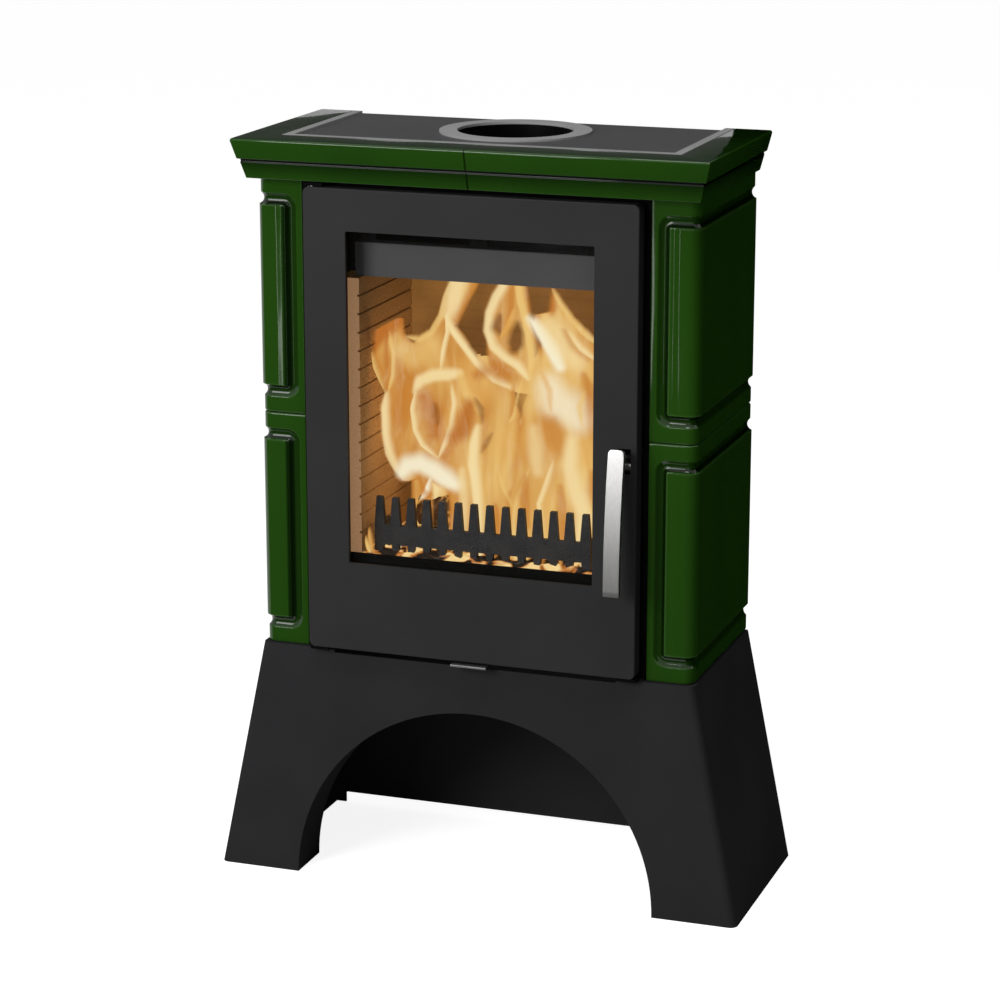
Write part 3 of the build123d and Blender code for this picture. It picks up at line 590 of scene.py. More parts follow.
ACROSS_GROOVE = (
    -10, -9.2, -8.5, -7.9, -7.3, -6.6, -5.8, -4.8, -3.6, -2.4, -1.2, 0, 1.2, 2.4, 3.6, 4.7, 5.6, 6.3, 6.9,
    7.4, 7.9, 8.5, 9.3, 10.3, 12.6, 13.4, 14.2, 16.5, 18.8, 20.2, 21.4,
)
RIM_STEPS = (0, 0.15, 0.45, 0.9, 1.5, 2.2, 3.0)
RIM_RADIUS = 2.6 * MM
SIDE_RIM_RADIUS = 1.2 * MM


def smooth_step(value, low, high):
    part = min(max((value - low) / (high - low), 0), 1)
    return part * part * (3 - 2 * part)


def soft_least(first, second, width):
    """The lesser of two heights, with the corner between them rounded over a width."""
    overlap = max(width - abs(first - second), 0)
    return min(first, second) - overlap * overlap / (4 * width)


def round_over(distance, radius):
    """How far a rounded edge falls at a distance from it."""
    if distance >= radius:
        return 0.0
    return radius - math.sqrt(max(radius * radius - (radius - distance) ** 2, 0))


def groove_reach(along, up, height):
    """How far a place lies inwards of the middle of the groove."""
    from_side = along - GROOVE_SIDE
    from_end = min(up, height - up) - GROOVE_END
    if from_side < GROOVE_BEND and from_end < GROOVE_BEND:
        return GROOVE_BEND - math.hypot(GROOVE_BEND - from_side, GROOVE_BEND - from_end)
    return min(from_side, from_end)


def tile_relief(along, up, height):
    """Outward offset of the glazed face: panel, cove and border, at a place along the bent face."""
    inward = groove_reach(along, up, height)
    reach = abs(inward)
    if reach < GROOVE_RADIUS:
        cove = GROOVE_RISE - math.sqrt(GROOVE_RADIUS**2 - reach**2)
    else:
        cove = GROOVE_RISE + (reach - GROOVE_RADIUS) * GROOVE_WALL_SLOPE
    if inward > 0:
        across = (along - GROOVE_SIDE) / MM
        crown = FACET_RISE * (min(max(across - FACET_START, 0) / FACET_WIDTH, 1) - 1) + PANEL_LIFT
        return soft_least(crown, cove, PANEL_BLEND)
    return soft_least(-BORDER_DROP, cove, BORDER_BLEND)


def tile_painted_light(along, up, height, painted_slope_shade):
    """Painted shade and highlight of the glaze: most shade under the panel's edge, less in the groove, below
    0 for a painted highlight on sharp edges.
    """
    inward = groove_reach(along, up, height) / MM
    across = (along - GROOVE_SIDE) / MM
    # Painted shade over the panel's slope, on the left tiles only.
    painted_slope_shade *= smooth_step(across, 5, 7) * (1 - smooth_step(across, 11.5, 13.5)) * smooth_step(inward, 5, 7)
    # Painted shade under the panel's edge and in the groove's bottom.
    wall = 0.9 * smooth_step(inward, 0.0, 3.5) * (1 - smooth_step(inward, *GROOVE_WALL_TOP))
    bottom = 0.5 * smooth_step(inward, -8, -4.5) * (1 - smooth_step(inward, *GROOVE_WALL_TOP))
    # Painted highlight on the panel's arris and on the tile's rims.
    painted_arris_highlight = 0.35 * smooth_step(inward, 6.6, 7.6) * (1 - smooth_step(inward, 8.4, 10.5))
    rim = 0.35 * (1 - smooth_step(min(up, height - up) / MM, 0.6, 2.4))
    return max(wall, bottom, painted_slope_shade) - painted_arris_highlight * (1 - painted_slope_shade) - rim


def tile_point(along, offset):
    """X and Y on the section of a right-hand tile, this far along from the strip's inner edge."""
    if along <= FLAT:
        return TILE_LOW[0] + along, TILE_FRONT - offset
    if along <= FLAT + ARC:
        turn = (along - FLAT) / CORNER
        radius = CORNER + offset
        return TILE_SIDE - CORNER + radius * math.sin(turn), TILE_FRONT + CORNER - radius * math.cos(turn)
    return TILE_SIDE + offset, TILE_FRONT + CORNER + along - FLAT - ARC


def build_tile(node, glaze):
    """A glazed tile: one bent face with its panel, cove and border, and a plain back."""
    low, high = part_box(node)
    side = 1 if "right" in node else -1
    height = high[2] - low[2]
    groove = [step * MM for step in ACROSS_GROOVE]
    rim = [step * MM for step in RIM_STEPS]
    sides = [GROOVE_SIDE + g for g in groove]
    alongs = sorted(
        rim[:5]
        + sides
        + steps(sides[-1] + 3 * MM, FLAT - 2 * MM, 5 * MM)
        + steps(FLAT, FLAT + ARC, 1.3 * MM)
        + steps(FLAT + ARC + 3 * MM, TILE_ALONG - 2 * MM, 14 * MM)
        + [TILE_ALONG - r for r in (0, 0.0004, 0.001)]
    )
    lower = [GROOVE_END + g for g in groove]
    middle = steps(lower[-1] + 6 * MM, height - lower[-1] - 6 * MM, 12 * MM)
    half = rim + steps(6 * MM, lower[0] - 2 * MM, 4 * MM) + lower
    ups = half + middle + [height - u for u in reversed(half)]
    piece = add_grid(f"glazed_{node}", len(alongs), len(ups), wall=TILE_WALL)

    def place(column, row, layer):
        along, up = alongs[column], ups[row]
        if layer:
            x, y = tile_point(along, -TILE_WALL)
        else:
            fall = round_over(min(up, height - up), RIM_RADIUS)
            fall += round_over(min(along, TILE_ALONG - along), SIDE_RIM_RADIUS)
            x, y = tile_point(along, tile_relief(along, up, height) - fall)
        return side * x, y, low[2] + up

    # The painted shade and highlight of each point.
    def painted_light_and_joint(column, row):
        return tile_painted_light(alongs[column], ups[row], height, 0.85 if side < 0 else 0)

    bend_grid(piece, len(alongs), len(ups), place, painted_light_and_joint)
    tidy_mesh(piece, 42)
    dress(piece, glaze, replaces=[node])


class STOVE_OT_tiles(bpy.types.Operator):
    """Model the four glazed corner tiles"""

    bl_idname = "stove.tiles"
    bl_label = "Corner tiles"

    def execute(self, context):
        glaze = glaze_finish(context.scene.stove_glaze)
        for node in ("lower_tile_right", "lower_tile_left", "upper_tile_right", "upper_tile_left"):
            build_tile(node, glaze)
        return {"FINISHED"}


# ---- cornice --------------------------------------------------------------------------------------
CORNICE_SECTION = (  # outward offset, height and rounding of each corner, in millimetres
    (0, 0, 1.6), (5.6, 20.8, 0.5), (4.9, 22.4, 0.7), (5.3, 24.4, 0.6), (9.0, 25.6, 1.4), (16, 52, 3.0),
    (-34, 52, 1.0), (-34, 40, 0), (-14, 40, 0), (-14, 0, 0.8),
)
CORNICE_BROW = 16 * MM  # how far the top edge stands out over the lower outer edge
CORNICE_DEPTH = 279  # of the lower outer edge at the front
JOINT_HALF = 0.25 * MM
JOINT_FADE = 1.8 * MM


def rounded_section(corners, arc_points=6):
    """A closed section through corners, each rounded by its radius."""
    section = []
    for i, (x, y, radius) in enumerate(corners):
        here = Vector((x, y))
        if not radius:
            section.append(here)
            continue
        before = (Vector(corners[i - 1][:2]) - here).normalized()
        after = (Vector(corners[(i + 1) % len(corners)][:2]) - here).normalized()
        half = before.angle(after) / 2
        reach = radius / math.tan(half)
        centre = here + (before + after).normalized() * (radius / math.sin(half))
        start, end = here + before * reach - centre, here + after * reach - centre
        turn = start.angle_signed(end)
        for k in range(arc_points):
            swing = -turn * k / (arc_points - 1)
            across = start.x * math.cos(swing) - start.y * math.sin(swing)
            up = start.x * math.sin(swing) + start.y * math.cos(swing)
            section.append(centre + Vector((across, up)))
    return section


def build_cornice(side, glaze):
    """One half of the cornice: its section drawn from the front joint round the mitre to the back."""
    section = [(p.x * MM, p.y * MM) for p in rounded_section(CORNICE_SECTION)]
    front = y_at(CORNICE_DEPTH)
    half = CORNICE_HIGH[0] - CORNICE_BROW
    stations = (
        lambda o, h: (JOINT_HALF, front - o, h),
        lambda o, h: (JOINT_HALF + JOINT_FADE, front - o, h),
        lambda o, h: (half / 2, front - o, h),
        lambda o, h: (half + o, front - o, h),
        lambda o, h: (half + o, (front + BACK_Y) / 2, h),
        lambda o, h: (half + o, BACK_Y, h),
    )
    deselect()
    bpy.ops.mesh.primitive_circle_add(vertices=len(section), radius=1, fill_type="NGON")
    node = "cornice_right" if side > 0 else "cornice_left"
    piece = named(f"glazed_{node}")
    for vertex, (offset, height) in zip(piece.data.vertices, section):
        vertex.co = stations[0](offset, CORNICE_LOW[2] + height)
    for count, station in enumerate(stations[1:], 1):
        with edit_mode(piece):
            bpy.ops.mesh.select_mode(type="FACE")
            if count == 1:
                bpy.ops.mesh.select_all(action="SELECT")
            bpy.ops.mesh.extrude_region_move()
        moved = [v for v in piece.data.vertices if v.select]
        for vertex, (offset, height) in zip(moved, section):
            vertex.co = station(offset, CORNICE_LOW[2] + height)
    piece.data.update()
    for vertex in piece.data.vertices:
        vertex.co.x *= side
    bevel(piece, 2.2 * MM, 4)
    tidy_mesh(piece, 38)
    # thickness is the glaze attribute: painted shade in the crease under the step and on the top, and the
    # dark joint where the halves meet.
    thickness = piece.data.attributes.new("glaze_painted_light_and_joint", "FLOAT", "POINT")
    for vertex in piece.data.vertices:
        height = (vertex.co.z - CORNICE_LOW[2]) / MM
        step = smooth_step(height, 20.2, 20.9) * (1 - smooth_step(height, 25.4, 26.2))
        painted_top_shade = 0.62 * smooth_step(height, 51.2, 51.8)
        seam = 1 - smooth_step(abs(vertex.co.x) / MM, 0.4, 1.6)
        thickness.data[vertex.index].value = max(step, painted_top_shade, 0.8 * seam)
    dress(piece, glaze, replaces=[node])


class STOVE_OT_cornice(bpy.types.Operator):
    """Model the two halves of the glazed cornice"""

    bl_idname = "stove.cornice"
    bl_label = "Cornice"

    def execute(self, context):
        glaze = bpy.data.materials["rippled_glaze"]
        for side in (1, -1):
            build_cornice(side, glaze)
        return {"FINISHED"}


# ---- handle ---------------------------------------------------------------------------------------
class STOVE_OT_handle(bpy.types.Operator):
    """Model the bowed steel strip of the handle"""

    bl_idname = "stove.handle"
    bl_label = "Handle strip"

    def execute(self, context):
        half = (GRIP_HIGH[0] - GRIP_LOW[0]) / 2
        middle = (GRIP_HIGH[0] + GRIP_LOW[0]) / 2
        thickness, set_back, corner = 8 * MM, 18 * MM, 6 * MM
        bottom, top = GRIP_LOW[2], GRIP_HIGH[2] - 1 * MM
        line_y = GRIP_LOW[1] + thickness / 2
        bow = ((top - bottom) ** 2 + set_back**2) / (2 * set_back)
        outwards = (0.6, 0.75, 0.86, 0.94, 0.985, 1)
        across = [half * s for s in (*(-s for s in reversed(outwards)), 0, *outwards)]
        rows = 25
        piece = add_grid("handle_strip", len(across), rows, wall=thickness)

        def place(column, row, layer):
            x = across[column]
            over = max(abs(x) - (half - corner), 0)
            reach = top - round_over(corner - over, corner)
            z = bottom + (reach - bottom) * row / (rows - 1)
            lean = math.asin((z - bottom) / bow)
            radius = bow + (thickness / 2 if layer == 0 else -thickness / 2)
            centre_y = line_y + bow
            return middle + x, centre_y - radius * math.cos(lean), bottom + radius * math.sin(lean)

        bend_grid(piece, len(across), rows, place)
        bevel(piece, 1.1 * MM, 3)
        tidy_mesh(piece, 40)
        steel = brushed_finish("handle_steel", (0.38, 0.376, 0.37), (1, 1, 0.02), 0.38, 0.9)
        dress(piece, steel, body="handle", replaces=["handle_grip"])
        return {"FINISHED"}


# ---- fire -----------------------------------------------------------------------------------------
FLAME_COLOURS = {
    "white": (0.94, 0.86, 0.62), "cream": (0.92, 0.72, 0.36), "pale": (0.84, 0.55, 0.18),
    "gold": (0.76, 0.39, 0.09), "orange": (0.57, 0.215, 0.032), "red": (0.50, 0.150, 0.020),
    "brown": (0.20, 0.060, 0.010),
}
# FLAME_MASSES, FLAME_STROKES, LOW_STROKES and EDGE_STROKES are traced from the photo. Another program made
# most of their numbers out of picked points, and some were changed afterwards.
# Each mass of flame: rows of middle X, Z and half width, in millimetres, from the top down.
FLAME_MASSES = (
    ((-119, 747, 3), (-127, 738, 12), (-135, 727, 22), (-131, 716, 28), (-117, 709, 42), (-106, 693, 53),
     (-98, 672, 54), (-91, 649, 51), (-92, 628, 57), (-93, 602, 55), (-92, 582, 52), (-90, 565, 46),
     (-88, 551, 41), (-114, 531, 7)),
    ((-20, 836, 24), (-31, 801, 19), (-35, 790, 18), (-43, 773, 16), (-51, 754, 15), (-56, 742, 15),
     (-55, 732, 23), (-60, 721, 36), (-65, 704, 50), (-65, 685, 61), (-59, 671, 70), (-46, 661, 81),
     (-40, 632, 86), (-41, 580, 86), (-33, 555, 79), (-24, 538, 66), (-14, 524, 46), (-12, 500, 44),
     (-12, 441, 44)),
    ((-90, 552, 15), (-87, 528, 10), (-84, 505, 7), (-82, 470, 5), (-82, 441, 5)),
    ((40, 836, 13), (35, 803, 17), (32, 786, 22), (28, 765, 29), (29, 744, 33), (33, 724, 35),
     (38, 703, 40), (43, 683, 43), (43, 661, 43)),
    ((85, 799, 1), (88, 781, 7), (94, 767, 14), (87, 763, 25), (90, 753, 33), (100, 741, 37),
     (109, 725, 40), (109, 704, 46), (108, 675, 50), (102, 645, 56), (98, 600, 60), (95, 570, 63),
     (90, 506, 68), (88, 441, 70)),
)
# Each stroke: colour, strength, softness in millimetres, and points of X, Z and half width.
FLAME_STROKES = (
    ("orange", 0.55, 12, ((-134, 690, 8), (-126, 648, 10), (-122, 610, 8))),
    ("orange", 0.5, 12, ((-86, 706, 4), (-100, 690, 8), (-112, 678, 6))),
    ("gold", 0.5, 12, ((-60, 600, 6), (-20, 655, 14), (-30, 690, 8))),
    ("pale", 0.6, 18, ((60, 655, 10), (90, 690, 16), (130, 690, 10))),
    ("gold", 0.4, 16, ((20, 590, 8), (70, 600, 14), (130, 590, 10))),
    ("red", 0.9, 6, ((-160, 705, 4), (-148, 724, 7.6), (-121, 743, 6))),
    ("orange", 0.75, 10, ((-95, 685, 4), (-111, 659, 7), (-118, 628, 8), (-124, 612, 6))),
    ("pale", 0.6, 12, ((-119, 705, 5), (-101, 696, 10), (-75, 715, 6))),
    ("red", 0.6, 3, ((-140, 729, 1), (-141, 699, 2), (-141, 669, 1))),
    ("pale", 0.8, 2, ((-135, 727, 1), (-129, 700, 1.3), (-130, 670, 1.6), (-138, 645, 1))),
    ("pale", 0.9, 2, ((-160, 700, 1), (-155, 679, 1.8), (-140, 645, 1.6))),
    ("cream", 0.9, 4, ((-139, 645, 1.6), (-142, 625, 2.2), (-141, 594, 3.4), (-135, 568, 4.5),
                        (-124, 543, 3.6))),
    ("pale", 0.9, 3, ((-110, 723, 1), (-92, 721, 2), (-75, 732, 2.4), (-63, 753, 2.2), (-57, 777, 2),
                        (-45, 806, 3))),
    ("cream", 0.85, 4, ((-36, 836, 12), (-40, 801, 8), (-45, 777, 6.6), (-51, 756, 4))),
    ("orange", 0.7, 3, ((-4, 836, 5), (-18, 800, 3.5), (-31, 770, 2.6), (-41, 745, 1.5))),
    ("cream", 0.95, 2, ((-55, 760, 1.8), (-53, 733, 1.8), (-60, 707, 1.8), (-65, 682, 1))),
    ("cream", 1.0, 3, ((-55, 753, 2.2), (-44, 734, 3), (-24, 710, 3.9), (-7, 688, 3.9), (8, 675, 3),
                        (30, 666, 1.3))),
    ("cream", 0.9, 3, ((-99, 651, 3.6), (-93, 666, 5), (-75, 674, 6.2), (-55, 677, 6.6), (-38, 681, 4.8))),
    ("pale", 0.7, 4, ((-37, 679, 4.4), (-33, 660, 4), (-24, 644, 3), (-12, 630, 1.8))),
    ("red", 0.85, 9, ((-89, 644, 5), (-79, 625, 9), (-73, 598, 5))),
    ("brown", 0.5, 6, ((-75, 633, 2.5), (-72, 612, 2.5))),
    ("cream", 0.9, 2, ((-99, 651, 1.8), (-103, 628, 2), (-99, 601, 2.2), (-89, 583, 2), (-68, 567, 1.3))),
    ("cream", 0.85, 2, ((-50, 663, 1.3), (-46, 640, 2), (-50, 611, 1.8), (-58, 587, 1.6), (-67, 567, 1.3))),
    ("red", 0.9, 9, ((-27, 638, 4), (-32, 616, 7), (-36, 604, 7), (-47, 595, 4))),
    ("brown", 0.6, 3.5, ((-19, 648, 1), (-11, 634, 1.6), (-9, 617, 1.2))),
    ("brown", 0.5, 4, ((5, 604, 1), (-2, 592, 1.6), (-9, 579, 1))),
    ("red", 0.6, 7, ((-16, 679, 3), (4, 689, 4.4), (20, 680, 5))),
    ("orange", 0.6, 9, ((-2, 697, 4.4), (17, 683, 5.7), (35, 678, 4))),
    ("clear", 0.9, 3, ((-62, 528, 2), (-61, 508, 3.5), (-60, 488, 3.5))),
    ("cream", 0.95, 3, ((30, 836, 6), (22, 800, 4.3), (11, 782, 4.8), (2, 761, 3.7), (0, 738, 2.8),
                        (8, 718, 2.8),
                        (24, 704, 2.8), (40, 695, 2.2), (54, 681, 1.5))),
    ("orange", 0.6, 3, ((35, 836, 2), (31, 801, 1.7), (30, 778, 2.6), (28, 753, 3))),
    ("brown", 0.8, 4, ((15, 758, 2.2), (11, 743, 3.9), (16, 735, 2.2))),
    ("gold", 0.9, 2, ((35, 766, 3), (28, 746, 3.3), (18, 731, 2.4))),
    ("clear", 1.0, 3, ((39, 748, 1.5), (38, 736, 6), (36, 724, 9), (34, 716, 7))),
    ("pale", 0.95, 2, ((50, 836, 5), (42, 802, 4.7), (45, 779, 4.7), (51, 756, 4), (54, 734, 2.8),
                        (58, 709, 2.6),
                       (57, 683, 1.7))),
    ("brown", 0.5, 3, ((61, 746, 0.6), (65, 728, 1.7), (63, 709, 1))),
    ("white", 1.0, 4, ((57, 757, 1.7), (71, 739, 5.6), (87, 719, 8.6), (97, 699, 6.4))),
    ("cream", 0.7, 12, ((84, 748, 6.4), (102, 728, 9.6), (117, 709, 8.6))),
    ("red", 0.6, 5, ((85, 795, 1), (86, 779, 3), (84, 765, 3))),
    ("pale", 0.95, 2, ((86, 798, 1), (96, 780, 2.6), (112, 760, 3.4), (129, 745, 3.8), (152, 727, 2))),
    ("orange", 0.55, 4, ((101, 745, 2), (114, 727, 3), (134, 710, 2.6))),
    ("cream", 0.8, 3, ((108, 743, 1.3), (125, 724, 2), (147, 709, 2))),
    ("orange", 0.8, 6, ((128, 689, 2), (134, 670, 4), (139, 648, 3))),
    ("white", 0.75, 16, ((84, 672, 5), (94, 652, 12), (108, 645, 10.8), (119, 630, 4.3))),
    ("gold", 0.6, 4, ((72, 690, 1), (84, 668, 1.6), (86, 640, 1.2))),
    ("pale", 0.7, 3, ((128, 668, 1), (122, 648, 1.6), (126, 624, 1))),
    ("orange", 0.6, 9, ((85, 626, 3.5), (91, 606, 7.4), (96, 587, 4))),
    ("pale", 0.75, 2, ((46, 679, 1), (40, 653, 1.3), (35, 629, 1.3), (28, 620, 1))),
    ("orange", 0.6, 3, ((33, 669, 1.3), (33, 646, 2), (29, 627, 1.3))),
    ("white", 0.95, 7, ((-119, 541, 4), (-109, 554, 5.8), (-91, 558, 7.2), (-73, 550, 9.4),
                        (-58, 540, 10), (-45, 533, 6.7))),
    ("white", 0.9, 2, ((-79, 538, 2.2), (-85, 520, 2.7), (-95, 507, 1.8))),
    ("orange", 0.6, 4, ((-97, 537, 1.8), (-93, 520, 2.2), (-74, 513, 2.7))),
    ("cream", 0.95, 4, ((-14, 611, 1.8), (-18, 586, 4.4), (-20, 560, 5), (-17, 535, 4.4), (-14, 509, 4),
                        (-11, 468, 4))),
    ("cream", 0.6, 6, ((-36, 551, 2.7), (-34, 516, 3.6), (-34, 473, 3))),
    ("pale", 0.7, 2, ((13, 563, 1), (20, 538, 1.8), (33, 511, 1.5))),
    ("pale", 0.75, 2, ((55, 562, 1), (46, 536, 1.8), (37, 509, 1.5), (33, 470, 1.8))),
    ("cream", 0.6, 8, ((61, 614, 3), (63, 584, 5.2), (66, 559, 3))),
    ("cream", 0.8, 2, ((87, 574, 1.3), (79, 547, 2), (69, 517, 2), (75, 472, 2))),
    ("cream", 0.85, 8, ((113, 603, 4.3), (111, 571, 7.3), (118, 538, 7.4), (129, 505, 5.6), (123, 470, 3))),
    ("orange", 0.75, 4, ((50, 551, 1.3), (48, 523, 4), (53, 485, 3))),
    ("orange", 0.8, 5, ((96, 540, 2.2), (97, 511, 4.4), (99, 472, 2.6))),
    ("orange", 0.8, 4, ((9, 509, 1.8), (10, 486, 3.5), (11, 466, 2.7))),
    ("orange", 0.8, 5, ((140, 563, 2.2), (141, 540, 4.7), (146, 511, 3))),
)
LOW_STROKES = (
    ("white", 0.95, 2, ((-131, 442, 3), (-119, 442, 3), (-117, 451, 2))),
    ("cream", 0.95, 2, ((-97, 451, 2), (-89, 442, 2.7), (-79, 441, 2.2), (-73, 452, 1.3))),
    ("orange", 0.8, 3, ((-50, 452, 2), (-49, 442, 2))),
    ("pale", 0.9, 2, ((-41, 441, 3.6), (-29, 441, 3), (-29, 451, 1.8))),
    ("cream", 0.95, 2, ((-19, 441, 3), (-6, 442, 3), (-6, 451, 2))),
    ("orange", 0.8, 3, ((12, 451, 2.2), (14, 442, 2.7))),
    ("gold", 0.95, 2, ((20, 441, 2.6), (34, 441, 3), (37, 450, 1.8))),
    ("pale", 0.9, 2, ((58, 451, 1.8), (59, 441, 3))),
    ("orange", 0.8, 3, ((80, 451, 1.7), (79, 442, 3))),
    ("gold", 0.9, 2, ((103, 452, 1.7), (106, 442, 2.6))),
    ("cream", 0.9, 2, ((128, 451, 1.7), (131, 442, 2.6))),
)
EDGE_STROKES = (
    ("gold", 0.9, 2, ((-151, 476, 0.6), (-150, 462, 1.6), (-146, 441, 2.6))),
    ("pale", 0.95, 2, ((-156, 462, 0.8), (-153, 450, 2), (-150, 441, 4))),
)
CORE = 0.45  # the part of a stroke's half width that has its full colour
TAPER = 2.5  # how far a stroke's ends are drawn in, in millimetres
SHADE_SINK, LIGHT_LIFT = 5, 6  # how far a dark and a bright stroke stand off the sheet, in millimetres
SHEET_WAVE = 7  # how far a sheet swings forwards and backwards, in millimetres
FAR_OUTSIDE = -50  # stands for a place that no mass of flame reaches
FLAME_AREA = (-161, 159, 441, 837)  # left, right, foot and top of the large sheets, in millimetres


def stroke_distance(points, x, z):
    """How far a place lies outside a stroke, whose ends are drawn out thin."""
    nearest = 1e9
    last = len(points) - 2
    for i, ((ax, az, ah), (bx, bz, bh)) in enumerate(zip(points, points[1:])):
        run_x, run_z = bx - ax, bz - az
        part = ((x - ax) * run_x + (z - az) * run_z) / (run_x * run_x + run_z * run_z)
        part = min(max(part, 0), 1)
        away = math.hypot(x - ax - run_x * part, z - az - run_z * part) - CORE * (ah + (bh - ah) * part)
        if i == 0:
            away += TAPER * (1 - part) ** 2
        if i == last:
            away += TAPER * part**2
        nearest = min(nearest, away)
    return nearest


def mass_depth(rows, x, z):
    """How far inside the edge of a mass of flame a place is."""
    for (ax, az, ah), (bx, bz, bh) in zip(rows, rows[1:]):
        if bz <= z <= az:
            part = (az - z) / (az - bz)
            return ah + (bh - ah) * part - abs(x - ax - (bx - ax) * part)
    return FAR_OUTSIDE


def mixed(first, second, amount):
    return tuple(a + (b - a) * amount for a, b in zip(first, second))


def gas_colour(x, z, inside):
    """The colour of the flames between the strokes: streaks that lean and curl, redder at the edges."""
    swing = 26 * noise.noise(Vector((x * 0.012, z * 0.009, 3.7)))
    tone = 0.28 + 0.33 * smooth_step(x, -75, 0)
    tone += 0.55 * noise.noise(Vector(((x + swing) * 0.030, z * 0.012, 1.3)))
    tone += 0.28 * noise.noise(Vector(((x + swing) * 0.10, z * 0.026, 8.1)))
    colour = mixed(FLAME_COLOURS["orange"], FLAME_COLOURS["pale"], min(max(tone, 0), 1))
    return mixed(FLAME_COLOURS["orange"], colour, smooth_step(inside, 0, 13))


def grid_range(values, reach, low, pitch, count):
    """The steps of a grid that values, with a reach round them, lie on."""
    first = math.floor((min(values) - reach - low) / pitch)
    last = math.ceil((max(values) + reach - low) / pitch)
    return range(max(first, 0), min(last, count - 1) + 1)


def paint_flame(name, depth, area, pitch, masses, strokes, finish, flip=1, squash=1.0):
    """A curved sheet of flame, coloured and made see-through stroke by stroke."""
    left, right, foot, top = area
    columns, rows = round((right - left) / pitch) + 1, round((top - foot) / pitch) + 1
    colours, covers, lifts = [], [], []
    for row in range(rows):
        z = foot + row * pitch
        for column in range(columns):
            x = left + column * pitch
            inside = max((mass_depth(mass, x, z) for mass in masses), default=FAR_OUTSIDE)
            colours.append(gas_colour(x, z, inside))
            covers.append(smooth_step(inside, -3, 5))
            lifts.append(0.0)
    for colour, strength, soft, points in strokes:
        width = max(point[2] for point in points)
        soft = soft * 1.3 + width * 0.8
        reach = soft + width
        crossed = grid_range([point[0] for point in points], reach, left, pitch, columns)
        for row in grid_range([point[1] for point in points], reach, foot, pitch, rows):
            for column in crossed:
                away = stroke_distance(points, left + column * pitch, foot + row * pitch)
                amount = strength * (1 - smooth_step(away, 0, soft))
                spot = row * columns + column
                if colour == "clear":
                    covers[spot] *= 1 - amount
                elif amount > 0:
                    colours[spot] = mixed(colours[spot], FLAME_COLOURS[colour], amount)
                    if colour in ("brown", "orange", "red") and masses:
                        lifts[spot] -= SHADE_SINK * amount
                    else:
                        lifts[spot] = max(lifts[spot], LIGHT_LIFT * amount)
                        covers[spot] = max(covers[spot], amount)
    piece = add_grid(f"flame_{name}", columns, rows)
    paint = piece.data.color_attributes.new("gas_paint", "FLOAT_COLOR", "POINT")
    bare = []
    for vertex in piece.data.vertices:
        column, row = grid_spot(vertex, columns, rows)
        spot = row * columns + column
        x, z = left + column * pitch, foot + row * pitch
        forward = depth + lifts[spot] + SHEET_WAVE * noise.noise(Vector((x * 0.016, z * 0.013, depth)))
        vertex.co = (flip * x * MM, y_at(forward), (foot + (z - foot) * squash) * MM)
        paint.data[vertex.index].color = (*colours[spot], covers[spot])
        bare.append(covers[spot] < 0.01)
    with edit_mode(piece):
        bpy.ops.mesh.select_mode(type="VERT")
        bpy.ops.mesh.select_all(action="DESELECT")
    piece.data.vertices.foreach_set("select", bare)
    with edit_mode(piece):
        bpy.ops.mesh.delete(type="VERT")
    bpy.ops.object.shade_smooth()
    dress(piece, finish)


def ember_bed_finish():
    """Glowing embers: gold and orange, with black char and white ash between."""
    finish = Finish("ember_bed")
    lump = finish.noise(36, 1.5, 0.5, warp=0.6)
    spot = finish.noise(105, 2)
    warm = finish.blend(lump.rise(0.50, 0.62), (0.50, 0.16, 0.02), (0.92, 0.66, 0.28))
    return finish.surface({
        "Base Color": finish.blend(spot.rise(0.5, 0.7), (0.015, 0.012, 0.010), (0.12, 0.10, 0.085)),
        "Roughness": 0.95,
        "Specular IOR Level": 0.1,
        "Emission Color": finish.blend(lump.rise(0.45, 0.52), (0.006, 0.003, 0.001), warm),
        "Emission Strength": 1.0,
        "Normal": finish.bump(lump, 0.004),
    })


HEARTH_Z = 440.4  # millimetres above the floor, where embers and logs lie
BED_FOOT, BED_LEVEL = 440.2, 440.6
BED_HALF = 160
BED_BACK, BED_FRONT = 60, 244  # depths
BED_SLOPE_START = 222  # the depth from which the bed rises backwards
BED_RIM = 9


def build_ember_bed(finish):
    """The bed of embers: a low uneven heap over the hearth, fallen through under the guard."""
    columns, rows = 110, 42
    piece = add_grid("ember_bed", columns, rows, wall=2 * MM)

    def place(column, row, layer):
        x = -BED_HALF + 2 * BED_HALF * column / (columns - 1)
        depth = BED_BACK + (BED_FRONT - BED_BACK) * row / (rows - 1)
        rim = min(BED_HALF - abs(x), BED_FRONT - depth, depth - BED_BACK)
        lump = 3.5 + 5 * noise.noise(Vector((x * 0.06, depth * 0.06, 2)))
        low = BED_LEVEL + 0.25 * max(BED_SLOPE_START - depth, 0) ** 0.5
        top = low + max(lump, 0.8) * smooth_step(rim, 0, BED_RIM)
        return x * MM, y_at(depth), (top if layer == 0 else BED_FOOT) * MM

    bend_grid(piece, columns, rows, place)
    tidy_mesh(piece, 60)
    dress(piece, finish)


EMBER_COUNT = 16
EMBER_HALF_ROW = 140
EMBER_Z = 451  # height of an ember's middle


